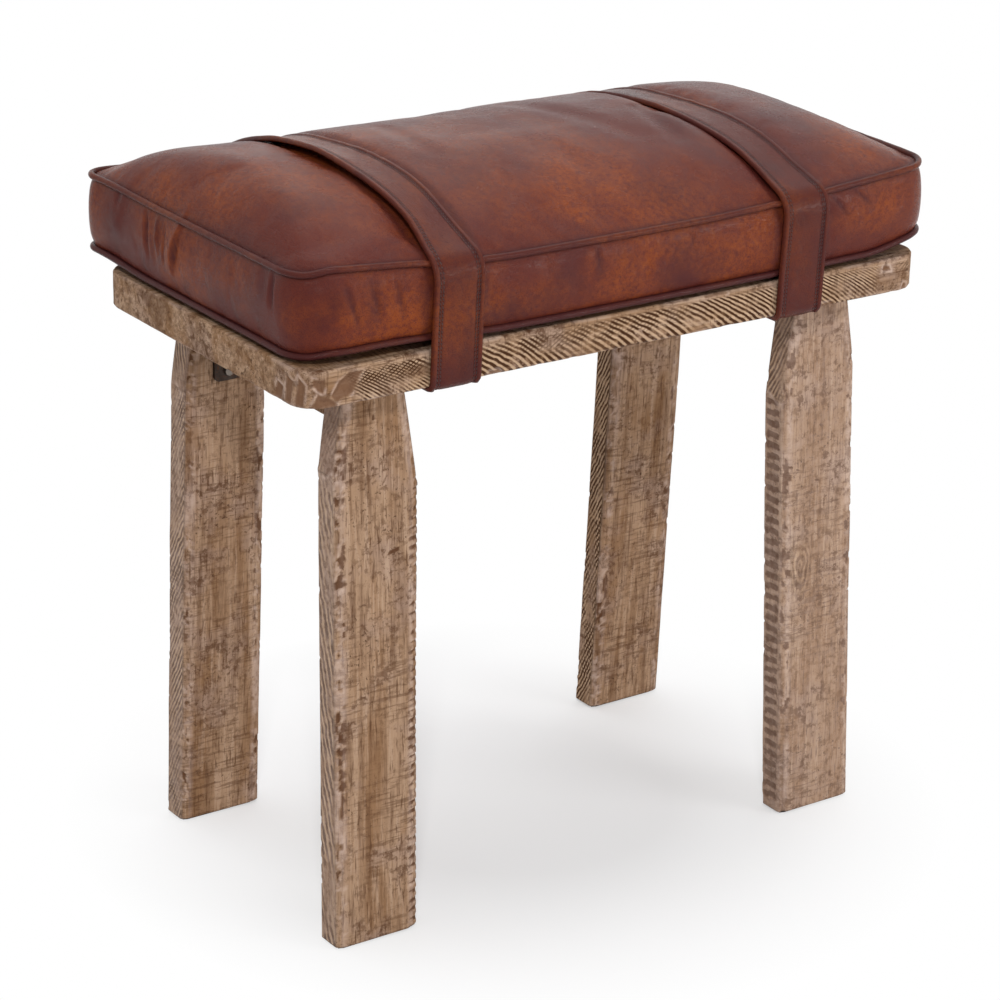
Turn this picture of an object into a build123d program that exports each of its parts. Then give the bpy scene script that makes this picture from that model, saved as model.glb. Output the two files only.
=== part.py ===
"""A bench stool: a weathered board on four splayed legs, with a boxed leather cushion strapped on top.

Units are millimetres. +X runs along the long side, +Y to the back and +Z up.
The origin is on the floor, under the middle of the seat cushion.
"""
from build123d import *
from math import atan, atan2, cos, degrees, hypot, isclose, radians, sin, sqrt
import os

# Seat board
board_length = 500
board_depth = 260
board_thickness = 25
board_top_height = 413
board_corner_radius = 20
board_edge_chamfer = 1.6

# The cushion is strapped on a little off centre, so the wooden frame stands this far from it
frame_shift_x = -7
frame_shift_y = -10

# Legs, flat boards with planed long edges, narrowed at the top by hand-cut shoulders
leg_width = 63.5
leg_thickness = 23.5
leg_end_inset = 37.5
leg_side_inset = 36.4
leg_splay_reach = 15.9
leg_leans = {"front_left": 6, "front_right": 8, "back_left": 0.5, "back_right": -1.5}
leg_edge_width = 5.8
leg_edge_depth = 2.3
inner_shoulder_width = 11.4
inner_shoulder_height = 74
outer_shoulder_width = 7.5
outer_shoulder_height = 58
shoulder_level_shares = (0.7, 0.4, 0.15, 0)
shoulder_power = 1.15

# Battens between the leg tops
batten_thickness = 24

# Angle brackets in the corners between leg and batten
bracket_flange = 30
bracket_width = 22
bracket_thickness = 2.5
bracket_bend_radius = 2
bracket_corner_radius = 4
bracket_hole_shares = (0.38, 0.76)

# Foot pads
pad_thickness = 2
pad_inset = 3

# Screws
seat_screw_shank_radius = 2.5
seat_screw_head_radius = 5
seat_screw_head_height = 3
seat_screw_length = 62
seat_screw_spacing = 24
batten_screw_length = 42
batten_screw_share = 0.42
small_screw_shank_radius = 1.8
small_screw_head_radius = 3.6
small_screw_head_height = 1.8
bracket_screw_depth_share = 0.6
screw_sides = 8

# Cushion, its seams measured from the edges and the top of the board
cushion_end_overhang = 2
cushion_side_overhang = 10
cushion_corner_radius = 28
long_side_bow = 5
short_side_bow = 2.5
bottom_seam_height = 3.6
top_seam_height = 56
band_bulge = 3.5
crown_height = 31
crown_edge_angle = 50
crown_shoulder_radius = 60
crown_shoulder_steps = 5
crown_top_shares = (1, 0.85, 0.7, 0.55, 0.4, 0.25, 0.15)
corner_shrink_share = 0.7
smallest_corner_radius = 8
chord_steps = 4
band_level_shares = (0, 0.25, 0.75, 1)
leather_thickness = 1.5
piping_radius = 2.25
piping_sides = 6

# Straps round the cushion and the board
strap_width = 38
strap_thickness = 3.5
strap_batten_gap = 2.9
strap_end_gap = 36
strap_end_margin = 12
strap_screw_depth_share = 0.56
strap_end_radius = 3

# Fits
clearance = 0.3
seam_gap = 0.2
screw_clearance = 0.15
overrun = 5
match_share = 0.001

# Sizes that follow from the ones above
board_underside = board_top_height - board_thickness
leg_outer_x = board_length / 2 - leg_end_inset
leg_inner_x = leg_outer_x - leg_width
batten_outer_x = leg_outer_x - outer_shoulder_width
batten_inner_x = leg_inner_x + inner_shoulder_width
batten_underside = board_underside - batten_thickness
leg_middle_x = (leg_outer_x + leg_inner_x) / 2
leg_top_middle_x = (batten_outer_x + batten_inner_x) / 2
leg_top_y = board_depth / 2 - leg_side_inset
splay = leg_splay_reach / board_underside
half_length = board_length / 2 + cushion_end_overhang
half_depth = board_depth / 2 + cushion_side_overhang
bottom_seam_z = board_top_height + bottom_seam_height
top_seam_z = board_top_height + top_seam_height
band_low_z = bottom_seam_z + piping_radius + seam_gap
band_high_z = top_seam_z - piping_radius - seam_gap
crown_low_z = top_seam_z + piping_radius + seam_gap
core_inset = piping_radius + clearance
strap_x = batten_inner_x - strap_batten_gap - strap_width / 2
frame_place = Pos(frame_shift_x, frame_shift_y, 0)

LEFT_RIGHT = {"left": -1, "right": 1}
FRONT_BACK = {"front": -1, "back": 1}


# Legs


def leg_centre_y(height):
    """Distance of a leg's middle from the frame's middle, growing towards the floor."""
    return leg_top_y + splay * (board_underside - height)


def shoulder_cut(height, cut_width, cut_height):
    """How far a shoulder has narrowed one edge of the leg at a height."""
    above = max(height - (board_underside - cut_height), 0)
    return cut_width * (above / cut_height) ** shoulder_power


def leg_section(height, lean):
    """The leg's outline at a height, for the right leg at the back."""
    drift = lean * (board_underside - height) / board_underside
    outer = leg_outer_x + drift - shoulder_cut(height, outer_shoulder_width, outer_shoulder_height)
    inner = leg_inner_x + drift + shoulder_cut(height, inner_shoulder_width, inner_shoulder_height)
    far = leg_centre_y(height) + leg_thickness / 2
    near = leg_centre_y(height) - leg_thickness / 2
    points = [
        (inner + leg_edge_width, near),
        (outer - leg_edge_width, near),
        (outer, near + leg_edge_depth),
        (outer, far - leg_edge_depth),
        (outer - leg_edge_width, far),
        (inner + leg_edge_width, far),
        (inner, far - leg_edge_depth),
        (inner, near + leg_edge_depth),
    ]
    return Pos(0, 0, height) * Polygon(*points, align=None)


def leg_blank(lean):
    """A leg from the foot pad up to the board, without its holes."""
    levels = [pad_thickness, board_underside - inner_shoulder_height, board_underside - outer_shoulder_height]
    levels += [board_underside - outer_shoulder_height * share for share in shoulder_level_shares]
    return loft([leg_section(level, lean) for level in levels], ruled=True)


def foot_pad(lean):
    """A thin pad under the leg, a little smaller than its foot."""
    foot = offset(leg_section(0, lean), amount=-pad_inset)
    return extrude(foot, amount=pad_thickness)


def to_corner(shape, side_x, side_y):
    """Mirror a shape made for the right back corner to another corner of the frame."""
    if side_x < 0:
        shape = mirror(shape, about=Plane.YZ)
    if side_y < 0:
        shape = mirror(shape, about=Plane.XZ)
    return frame_place * shape


# Screws, drawn few-sided because so many repeat, with the head's seat at the origin and the tip down -Z


def prism(radius, low, high):
    """A few-sided round bar between two heights."""
    return extrude(Pos(0, 0, low) * RegularPolygon(radius, screw_sides), amount=high - low)


def flat_head_screw(length, grow=0):
    """A wood screw whose head is sunk flush with the origin's plane."""
    head = prism(seat_screw_head_radius + grow, -seat_screw_head_height - grow, 0)
    return head + prism(seat_screw_shank_radius + grow, -length - grow, 0)


def round_head_screw(length):
    """A small wood screw with a raised head standing on the origin's plane."""
    return prism(small_screw_head_radius, 0, small_screw_head_height) + prism(small_screw_shank_radius, -length, 0)


def round_head_hole(length):
    """The pilot hole for a small wood screw."""
    return prism(small_screw_shank_radius + screw_clearance, -length - screw_clearance, 0)


def seat_screw_places():
    """Places of the screws through the board into the right back leg."""
    steps = (-seat_screw_spacing / 2, seat_screw_spacing / 2)
    return [Pos(leg_top_middle_x + step, leg_top_y, board_top_height) for step in steps]


def batten_screw_places():
    """Places of the screws through the right batten, up into the board."""
    reach = batten_screw_share * leg_top_y
    return [Pos(leg_top_middle_x, y, batten_underside) * Rot(180, 0, 0) for y in (-reach, reach)]


def bracket_screw_places():
    """Places of the screws on both flanges of the right back bracket."""
    corner_y = leg_centre_y(batten_underside) - leg_thickness / 2
    corner = Pos(leg_middle_x, corner_y, batten_underside)
    along_leg = corner * Rot(degrees(atan(splay)), 0, 0)
    places = []
    for share in bracket_hole_shares:
        reach = bracket_flange * share
        places.append(along_leg * Pos(0, -bracket_thickness, -reach) * Rot(90, 0, 0))
        places.append(corner * Pos(0, -reach, -bracket_thickness) * Rot(180, 0, 0))
    return places


bracket_screw_length = bracket_thickness + bracket_screw_depth_share * leg_thickness
strap_screw_length = strap_thickness + clearance + strap_screw_depth_share * board_thickness


# Battens and brackets


def batten():
    """The right batten, its ends cut to the slope of the legs."""
    low = leg_centre_y(batten_underside) - leg_thickness / 2
    high = leg_centre_y(board_underside) - leg_thickness / 2
    side = Polygon(
        (-low, batten_underside),
        (low, batten_underside),
        (high, board_underside),
        (-high, board_underside),
        align=None,
    )
    bar = extrude(Plane.YZ * side, amount=batten_outer_x - batten_inner_x)
    bar = Pos(batten_inner_x, 0, 0) * bar
    for place in batten_screw_places():
        bar -= place * flat_head_screw(batten_screw_length, screw_clearance)
    for place in bracket_screw_places():
        bar -= place * round_head_hole(bracket_screw_length)
        bar -= mirror(place * round_head_hole(bracket_screw_length), about=Plane.XZ)
    return bar


def bracket():
    """The right back angle bracket, bent to the corner between leg and batten."""
    slope = hypot(splay, 1)
    down = (splay / slope, -1 / slope)
    leg_end = (down[0] * bracket_flange, down[1] * bracket_flange)
    inner_leg_end = (leg_end[0] + down[1] * bracket_thickness, leg_end[1] - down[0] * bracket_thickness)
    inner_corner = ((splay - slope) * bracket_thickness, -bracket_thickness)
    inner_batten_end = (-bracket_flange, -bracket_thickness)
    batten_end = (-bracket_flange, 0)
    profile = Polygon((0, 0), leg_end, inner_leg_end, inner_corner, inner_batten_end, batten_end, align=None)
    bend = profile.vertices().sort_by_distance(inner_corner)[0]
    profile = fillet(bend, bracket_bend_radius)
    bend = profile.vertices().sort_by_distance((0, 0))[0]
    profile = fillet(bend, bracket_bend_radius + bracket_thickness)
    plate = extrude(Plane.YZ * profile, amount=bracket_width / 2, both=True)
    plate = fillet(edges_of_length(plate, bracket_thickness), bracket_corner_radius)
    corner_y = leg_centre_y(batten_underside) - leg_thickness / 2
    plate = Pos(leg_middle_x, corner_y, batten_underside) * plate
    for place in bracket_screw_places():
        plate -= place * round_head_hole(bracket_screw_length)
    return plate


def edges_of_length(shape, length):
    """The edges of a shape that have a length, such as the corners of a plate as thick as that."""
    return shape.edges().filter_by(lambda edge: isclose(edge.length, length, rel_tol=match_share))


# Seat board


def strap_screw_places(side_x):
    """Places of the two screws that hold the ends of one strap under the board."""
    end_y = strap_end_gap / 2 + strap_end_margin
    under = board_underside - clearance - strap_thickness
    return [Pos(side_x * strap_x, y, under) * Rot(180, 0, 0) for y in (-end_y, end_y)]


def seat_board():
    """The board with rounded corners and worn edges, and the holes for its screws."""
    middle_z = board_top_height - board_thickness / 2
    board = Pos(0, 0, middle_z) * Box(board_length, board_depth, board_thickness)
    board = fillet(board.edges().filter_by(Axis.Z), board_corner_radius)
    faces = board.faces().sort_by(Axis.Z)
    board = frame_place * chamfer(faces[0].edges() + faces[-1].edges(), board_edge_chamfer)
    for side_x in LEFT_RIGHT.values():
        for side_y in FRONT_BACK.values():
            for place in seat_screw_places():
                hole = place * flat_head_screw(seat_screw_length, screw_clearance)
                board -= to_corner(hole, side_x, side_y)
        for place in batten_screw_places():
            board -= to_corner(place * flat_head_screw(batten_screw_length, screw_clearance), side_x, 1)
        for place in strap_screw_places(side_x):
            board -= frame_place * place * round_head_hole(strap_screw_length)
    return board


# Cushion


def cushion_outline(inset, height):
    """The cushion's plan at a height: a rounded rectangle with bowed sides, drawn in by an inset."""
    left = half_length - inset
    back = half_depth - inset
    bow_x = short_side_bow * back / half_depth
    bow_y = long_side_bow * left / half_length
    x = left - bow_x
    y = back - bow_y
    sides = [
        ThreePointArc((-x, -y), (0, -back), (x, -y)),
        ThreePointArc((x, -y), (left, 0), (x, y)),
        ThreePointArc((x, y), (0, back), (-x, y)),
        ThreePointArc((-x, y), (-left, 0), (-x, -y)),
    ]
    plan = make_face(sides)
    radius = max(cushion_corner_radius - corner_shrink_share * inset, smallest_corner_radius)
    plan = fillet(plan.vertices(), radius)
    return Pos(0, 0, height) * plan


def in_chords(plan):
    """A plan with each of its arcs as a few chords, which keeps a loft through many plans light."""
    shares = [step / chord_steps for step in range(chord_steps)]
    points = [edge @ share for edge in plan.wire().order_edges() for share in shares]
    return make_face(Polyline(*points, close=True))


def cushion_loft(levels):
    """A solid through the cushion's plans, from an inset and a height for each."""
    return loft([in_chords(cushion_outline(inset, z)) for inset, z in levels], ruled=True)


def crown_profile(inset, drop):
    """Insets and heights of the crown: a steep shoulder arc that runs into a wide flat arc."""
    span = half_depth - inset
    rise = crown_height - drop
    angle = radians(crown_edge_angle)
    near = span - crown_shoulder_radius * sin(angle)
    tall = rise + crown_shoulder_radius * cos(angle)
    top_radius = (near**2 + tall**2 - crown_shoulder_radius**2) / (2 * (tall - crown_shoulder_radius))
    meet = atan2(near, top_radius - tall)
    levels = []
    for step in range(crown_shoulder_steps):
        turn = angle + (meet - angle) * step / crown_shoulder_steps
        out = crown_shoulder_radius * (sin(angle) - sin(turn))
        up = crown_shoulder_radius * (cos(turn) - cos(angle))
        levels.append((inset + out, up))
    for share in crown_top_shares:
        turn = meet * share
        levels.append((inset + span - top_radius * sin(turn), rise - top_radius * (1 - cos(turn))))
    return levels


def crown_solid(inset, drop):
    """The crowned top of the cushion, drawn in by an inset and lowered by a drop."""
    return cushion_loft([(inward, crown_low_z + up) for inward, up in crown_profile(inset, drop)])


def band_levels(inset):
    """Insets and heights of the cushion's side, which bulges out between its two seams."""
    levels = []
    for share in band_level_shares:
        bulge = band_bulge * 4 * share * (1 - share)
        levels.append((inset - bulge, band_low_z + (band_high_z - band_low_z) * share))
    return levels


def side_band():
    """The leather band round the cushion, drawn in at both seams and full between them."""
    return cushion_loft(band_levels(0)) - cushion_loft(band_levels(leather_thickness))


def top_panel():
    """The crowned leather top."""
    wall = leather_thickness / sin(radians(crown_edge_angle))
    return crown_solid(0, 0) - crown_solid(wall, leather_thickness)


def bottom_panel():
    """The flat leather under the foam, inside the lower piping."""
    return extrude(cushion_outline(core_inset, board_top_height), amount=leather_thickness)


def cushion_core():
    """The foam block: it fills the cover with a small clearance."""
    drop = leather_thickness + clearance
    levels = [(core_inset, board_top_height + drop)]
    levels += band_levels(core_inset)
    levels += [(inward, crown_low_z + up) for inward, up in crown_profile(core_inset, drop)]
    return cushion_loft(levels)


def piping(height):
    """A leather cord sewn into a seam, all round the cushion."""
    path = cushion_outline(0, height).wire()
    start = Plane(origin=path @ 0, z_dir=path % 0)
    return sweep(start * RegularPolygon(piping_radius, piping_sides), path=path)


# Straps


def side_depth(x):
    """Half depth of the cushion's plan at a distance from its middle."""
    reach = half_length - short_side_bow
    radius = (reach**2 + long_side_bow**2) / (2 * long_side_bow)
    return half_depth - radius + sqrt(radius**2 - x**2)


def wrapped_outline(x):
    """The convex outline, in the YZ plane, of all that a strap at a distance from the middle holds."""
    y = side_depth(x)
    levels = crown_profile(0, 0)
    shoulder = (levels[0], levels[crown_shoulder_steps // 2], levels[crown_shoulder_steps])
    band_middle_z = (band_low_z + band_high_z) / 2
    curves = []
    for side in (-1, 1):
        edge_y = frame_shift_y + side * (board_depth / 2 - board_edge_chamfer)
        for edge_z in (board_underside + board_edge_chamfer, board_top_height - board_edge_chamfer):
            curves += (Pos(edge_y, edge_z) * Circle(board_edge_chamfer)).edges()
        for seam_z in (bottom_seam_z, top_seam_z):
            curves += (Pos(side * y, seam_z) * Circle(piping_radius)).edges()
        band = ((y, band_low_z), (y + band_bulge, band_middle_z), (y, band_high_z))
        curves.append(ThreePointArc(*[(side * out, z) for out, z in band]))
        curves.append(ThreePointArc(*[(side * (y - inset), crown_low_z + up) for inset, up in shoulder]))
    inset, up = shoulder[-1]
    crown_ends = ((inset - y, crown_low_z + up), (y - inset, crown_low_z + up))
    curves.append(ThreePointArc(crown_ends[0], (0, crown_low_z + crown_height), crown_ends[1]))
    return make_hull(curves)


def strap(side_x):
    """A leather strap drawn tight round cushion and board, its two ends screwed under the board."""
    middle_x = frame_shift_x + side_x * strap_x
    wrapped = wrapped_outline(abs(middle_x) - strap_width / 2)
    outside = offset(wrapped, clearance + strap_thickness, kind=Kind.INTERSECTION)
    band = outside - offset(wrapped, clearance, kind=Kind.INTERSECTION)
    belt = extrude(Plane.YZ * band, amount=strap_width / 2, both=True)
    under_z = board_underside - clearance - strap_thickness / 2
    gap = Box(strap_width + overrun, strap_end_gap, strap_thickness + overrun)
    belt -= Pos(0, frame_shift_y, under_z) * gap
    belt = fillet(edges_of_length(belt, strap_thickness), strap_end_radius)
    belt = Pos(middle_x, 0, 0) * belt
    for place in strap_screw_places(side_x):
        belt -= frame_place * place * round_head_hole(strap_screw_length)
    return belt


# All pieces by name
pieces = {"seat_board": seat_board()}

right_batten = batten()
corner_bracket = bracket()
seat_screws = []
bracket_screws = []
batten_screws = []
for side, side_x in LEFT_RIGHT.items():
    pieces[f"batten_{side}"] = to_corner(right_batten, side_x, 1)
    for place in batten_screw_places():
        batten_screws.append(to_corner(place * flat_head_screw(batten_screw_length), side_x, 1))
    for row, side_y in FRONT_BACK.items():
        lean = leg_leans[f"{row}_{side}"]
        leg = leg_blank(lean)
        for place in seat_screw_places():
            leg -= place * flat_head_screw(seat_screw_length, screw_clearance)
            seat_screws.append(to_corner(place * flat_head_screw(seat_screw_length), side_x, side_y))
        for place in bracket_screw_places():
            leg -= place * round_head_hole(bracket_screw_length)
            screw = place * round_head_screw(bracket_screw_length)
            bracket_screws.append(to_corner(screw, side_x, side_y))
        pieces[f"leg_{row}_{side}"] = to_corner(leg, side_x, side_y)
        pieces[f"foot_pad_{row}_{side}"] = to_corner(foot_pad(lean), side_x, side_y)
        pieces[f"bracket_{row}_{side}"] = to_corner(corner_bracket, side_x, side_y)
pieces["seat_screws"] = Part() + seat_screws
pieces["batten_screws"] = Part() + batten_screws
pieces["bracket_screws"] = Part() + bracket_screws

pieces["cushion_core"] = cushion_core()
pieces["cushion_top_panel"] = top_panel()
pieces["cushion_side_band"] = side_band()
pieces["cushion_bottom_panel"] = bottom_panel()
pieces["piping_top"] = piping(top_seam_z)
pieces["piping_bottom"] = piping(bottom_seam_z)

strap_screws = []
for side, side_x in LEFT_RIGHT.items():
    pieces[f"strap_{side}"] = strap(side_x)
    for place in strap_screw_places(side_x):
        strap_screws.append(frame_place * place * round_head_screw(strap_screw_length))
pieces["strap_screws"] = Part() + strap_screws

os.makedirs("parts", exist_ok=True)
for name, piece in pieces.items():
    export_step(piece, f"parts/{name}.step")
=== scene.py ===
"""The looks of the bench stool: a boxed leather cushion, strapped onto a weathered board on four flat legs.

Shapes are worked out in millimetres, in the frame of the part, and written to the meshes in metres.
"""
from math import cos, hypot, pi, radians, sin
import bmesh
import bpy
import numpy as np
from mathutils import Matrix, Vector


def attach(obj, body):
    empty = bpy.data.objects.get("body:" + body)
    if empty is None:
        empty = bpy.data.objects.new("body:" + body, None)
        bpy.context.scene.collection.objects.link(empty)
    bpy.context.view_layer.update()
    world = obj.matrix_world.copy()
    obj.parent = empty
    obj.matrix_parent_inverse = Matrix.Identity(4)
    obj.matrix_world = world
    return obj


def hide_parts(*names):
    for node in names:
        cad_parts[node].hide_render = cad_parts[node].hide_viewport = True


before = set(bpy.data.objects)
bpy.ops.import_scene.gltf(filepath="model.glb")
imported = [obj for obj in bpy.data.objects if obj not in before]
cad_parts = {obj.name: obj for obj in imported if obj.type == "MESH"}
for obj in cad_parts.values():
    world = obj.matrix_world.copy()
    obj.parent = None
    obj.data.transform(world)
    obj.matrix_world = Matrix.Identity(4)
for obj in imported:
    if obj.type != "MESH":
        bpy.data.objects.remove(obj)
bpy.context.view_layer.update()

MM = 0.001

# Sizes of the part, in millimetres
BOARD_LENGTH = 500
BOARD_DEPTH = 260
BOARD_TOP = 413
BOARD_UNDERSIDE = 388
BOARD_CORNER = 20
BOARD_EDGE = 1.6
SHIFT_X = -7
SHIFT_Y = -10
LEG_OUTER = 212.5
LEG_INNER = 149
LEG_THICKNESS = 23.5
LEG_EDGE_WIDTH = 5.8
LEG_EDGE_DEPTH = 2.3
LEG_TOP_Y = 93.6
LEG_SPLAY = 15.9 / 388
LEG_FOOT = 2
LEG_LEANS = {"front_left": 6, "front_right": 8, "back_left": 0.5, "back_right": -1.5}
INNER_SHOULDER = (11.4, 74)
OUTER_SHOULDER = (7.5, 58)
CUSHION_HALF_LENGTH = 252
CUSHION_HALF_DEPTH = 140
LONG_BOW = 5
SHORT_BOW = 2.5
BOTTOM_SEAM = 418.4
TOP_SEAM = 465.3
BAND_BULGE = 4.2
PIPING_RADIUS = 2.3
STRAP_X = 138.5
STRAP_WIDTH = 38
STRAP_THICKNESS = 3.5
STRAP_GAP = 36
SEAM_BEND = 14
COVER_INSET = 1.4
COVER_SWELL = 3.5
BASE_GAP = 0.5
STRAP_STANDOFF = 0.25
STRAP_STEP = 2.2
STITCH_PITCH = 2.7


# Camera, at the photograph's viewing angle: degrees, millimetres, and its focal length by its sensor's width

VIEW_TURN, VIEW_HEIGHT, VIEW_ROLL = -34.9148, 21.4414, 1.279
VIEW_PLACE = (-1265.0055, -1796.3857, 1094.5045)
VIEW_SENSOR = 36
VIEW_FOCAL = 3.357118


def place_camera():
    turn, height, roll = radians(VIEW_TURN), radians(VIEW_HEIGHT), radians(VIEW_ROLL)
    right = Vector((cos(turn), sin(turn), 0))
    back = Vector((sin(turn) * cos(height), -cos(turn) * cos(height), sin(height)))
    up = back.cross(right)
    across = cos(roll) * right + sin(roll) * up
    upward = -sin(roll) * right + cos(roll) * up
    camera = bpy.data.objects.new("camera", bpy.data.cameras.new("camera"))
    camera.data.sensor_width = VIEW_SENSOR
    camera.data.lens = VIEW_SENSOR * VIEW_FOCAL
    camera.data.clip_end = 50
    camera.matrix_world = Matrix((across, upward, back)).transposed().to_4x4()
    camera.location = Vector(VIEW_PLACE) * MM
    bpy.context.collection.objects.link(camera)
    bpy.context.scene.camera = camera


place_camera()


# Helpers for shapes

def lumps(points, size, seed=0):
    """Smooth noise from -1 to 1 at points, with lumps of a size that may differ by axis."""
    place = np.asarray(points, float) / np.asarray(size, float) + 31.7 * seed
    cell = np.floor(place).astype(np.int64)
    part = place - cell
    part = part * part * (3 - 2 * part)
    total = np.zeros(len(place))
    for corner in range(8):
        step = np.array([corner & 1, corner >> 1 & 1, corner >> 2 & 1])
        key = (cell + step) @ np.array([73856093, 19349663, 83492791])
        key = (key ^ (key >> 13)) * 1274126177
        key = (key ^ (key >> 16)) & 0xFFFF
        total += np.prod(np.where(step, part, 1 - part), axis=1) * (key / 32767.5 - 1)
    return total


def smooth_step(value, low, high):
    share = np.clip((value - low) / (high - low), 0, 1)
    return share * share * (3 - 2 * share)


def bell(value, width):
    return np.exp(-(value / width) ** 2)


def grid_faces(rows, columns, wrap_rows=False, wrap_columns=False):
    row, column = np.meshgrid(np.arange(rows if wrap_rows else rows - 1),
                              np.arange(columns if wrap_columns else columns - 1), indexing="ij")
    row_after, column_after = (row + 1) % rows, (column + 1) % columns
    quads = [row * columns + column, row * columns + column_after,
             row_after * columns + column_after, row_after * columns + column]
    return np.stack(quads, -1).reshape(-1, 4).tolist()


def tube_faces(rows, columns):
    """The faces of a tube with a flat cap on each end."""
    skin = grid_faces(rows, columns, wrap_columns=True)
    return skin + [list(range(columns)), list(range((rows - 1) * columns, rows * columns))]


def smoothed(ring, rounds):
    """A closed line, with each point drawn towards its neighbours."""
    for _ in range(rounds):
        ring = (np.roll(ring, 1, 0) + 2 * ring + np.roll(ring, -1, 0)) / 4
    return ring


def resampled(at, known, rows):
    """Rows of values, given at known distances, read off at others."""
    return np.stack([np.interp(at, known, column) for column in rows.T], -1)


def length_along(line):
    return np.concatenate([[0], np.cumsum(np.linalg.norm(np.diff(line, axis=0), axis=1))])


def add_piece(name, points, faces, material, marks=None, smooth=True):
    """A mesh from points in millimetres, with marks as point attributes that its material reads."""
    mesh = bpy.data.meshes.new(name)
    mesh.from_pydata((np.asarray(points, float) * MM).tolist(), [], faces)
    shape = bmesh.new()
    shape.from_mesh(mesh)
    bmesh.ops.recalc_face_normals(shape, faces=shape.faces)
    shape.to_mesh(mesh)
    shape.free()
    for mark, values in (marks or {}).items():
        mesh.attributes.new(mark, "FLOAT", "POINT").data.foreach_set("value", np.asarray(values, np.float32))
    if material:
        mesh.materials.append(material)
    mesh.polygons.foreach_set("use_smooth", [smooth] * len(mesh.polygons))
    piece = bpy.data.objects.new(name, mesh)
    bpy.context.collection.objects.link(piece)
    return piece


def settle(piece, slot_name, *nodes):
    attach(piece, "root")
    if nodes:
        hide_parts(*nodes)


# Helpers for materials

class Nodes:
    """A node tree, built node by node. An input is a constant or the output of another node."""

    def __init__(self, tree):
        self.tree = tree

    def add(self, kind, inputs=None, **settings):
        node = self.tree.nodes.new(kind)
        for key, value in settings.items():
            setattr(node, key, value)
        self.feed(node, inputs or {})
        return node

    def feed(self, node, inputs):
        for key, value in inputs.items():
            if isinstance(value, bpy.types.NodeSocket):
                self.tree.links.new(value, node.inputs[key])
            else:
                node.inputs[key].default_value = value

    def math(self, operation, first, second=0.0, clamp=False):
        return self.add("ShaderNodeMath", {0: first, 1: second}, operation=operation, use_clamp=clamp).outputs[0]

    def plus(self, first, second):
        return self.math("ADD", first, second)

    def minus(self, first, second):
        return self.math("SUBTRACT", first, second)

    def times(self, first, second, clamp=False):
        return self.math("MULTIPLY", first, second, clamp)

    def most(self, first, second):
        return self.math("MAXIMUM", first, second)

    def ramp(self, value, low, high, to_low=0.0, to_high=1.0):
        return self.add("ShaderNodeMapRange", {"Value": value, "From Min": low, "From Max": high,
                                               "To Min": to_low, "To Max": to_high}).outputs["Result"]


class Finish(Nodes):
    """A material with one principled shader."""

    def __init__(self, name):
        self.material = bpy.data.materials.new(name)
        self.material.use_nodes = True
        super().__init__(self.material.node_tree)
        self.shader = self.tree.nodes["Principled BSDF"]
        self.place = self.add("ShaderNodeTexCoord").outputs["Object"]

    def set(self, **values):
        self.feed(self.shader, {key.replace("_", " "): value for key, value in values.items()})

    def stretch(self, scale, turn=(0, 0, 0), shift=(0, 0, 0)):
        """Object coordinates with a scale for each axis, in 1/m."""
        return self.add("ShaderNodeMapping", {"Vector": self.place, "Scale": scale, "Rotation": turn,
                                              "Location": shift}).outputs[0]

    def noise(self, scale, detail=2.0, roughness=0.5, vector=None, distortion=0.0):
        return self.add("ShaderNodeTexNoise", {"Vector": vector or self.place, "Scale": scale, "Detail": detail,
                                               "Roughness": roughness, "Distortion": distortion}).outputs["Fac"]

    def patches(self, scale, detail, shift, low, high):
        """Noise cut off below and above, shifted so that its patches are its own."""
        return self.ramp(self.noise(scale, detail, 0.6, self.stretch((1, 1, 1), shift=shift)), low, high)

    def mix(self, share, first, second):
        """A colour between two, each the output of a node or red, green and blue."""
        first, second = (tone if isinstance(tone, bpy.types.NodeSocket) else (*tone, 1) for tone in (first, second))
        return self.add("ShaderNodeMix", {0: share, 6: first, 7: second}, data_type="RGBA").outputs[2]

    def coated(self, colour, *coats):
        """A colour under coats, each with its share and its tone."""
        for share, tone in coats:
            colour = self.mix(share, colour, tone)
        return colour

    def mark(self, name):
        return self.add("ShaderNodeAttribute", attribute_name=name).outputs["Fac"]

    def bump(self, height, distance, strength=1.0):
        return self.add("ShaderNodeBump", {"Height": height, "Distance": distance, "Strength": strength}).outputs[0]


# Leather

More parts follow.
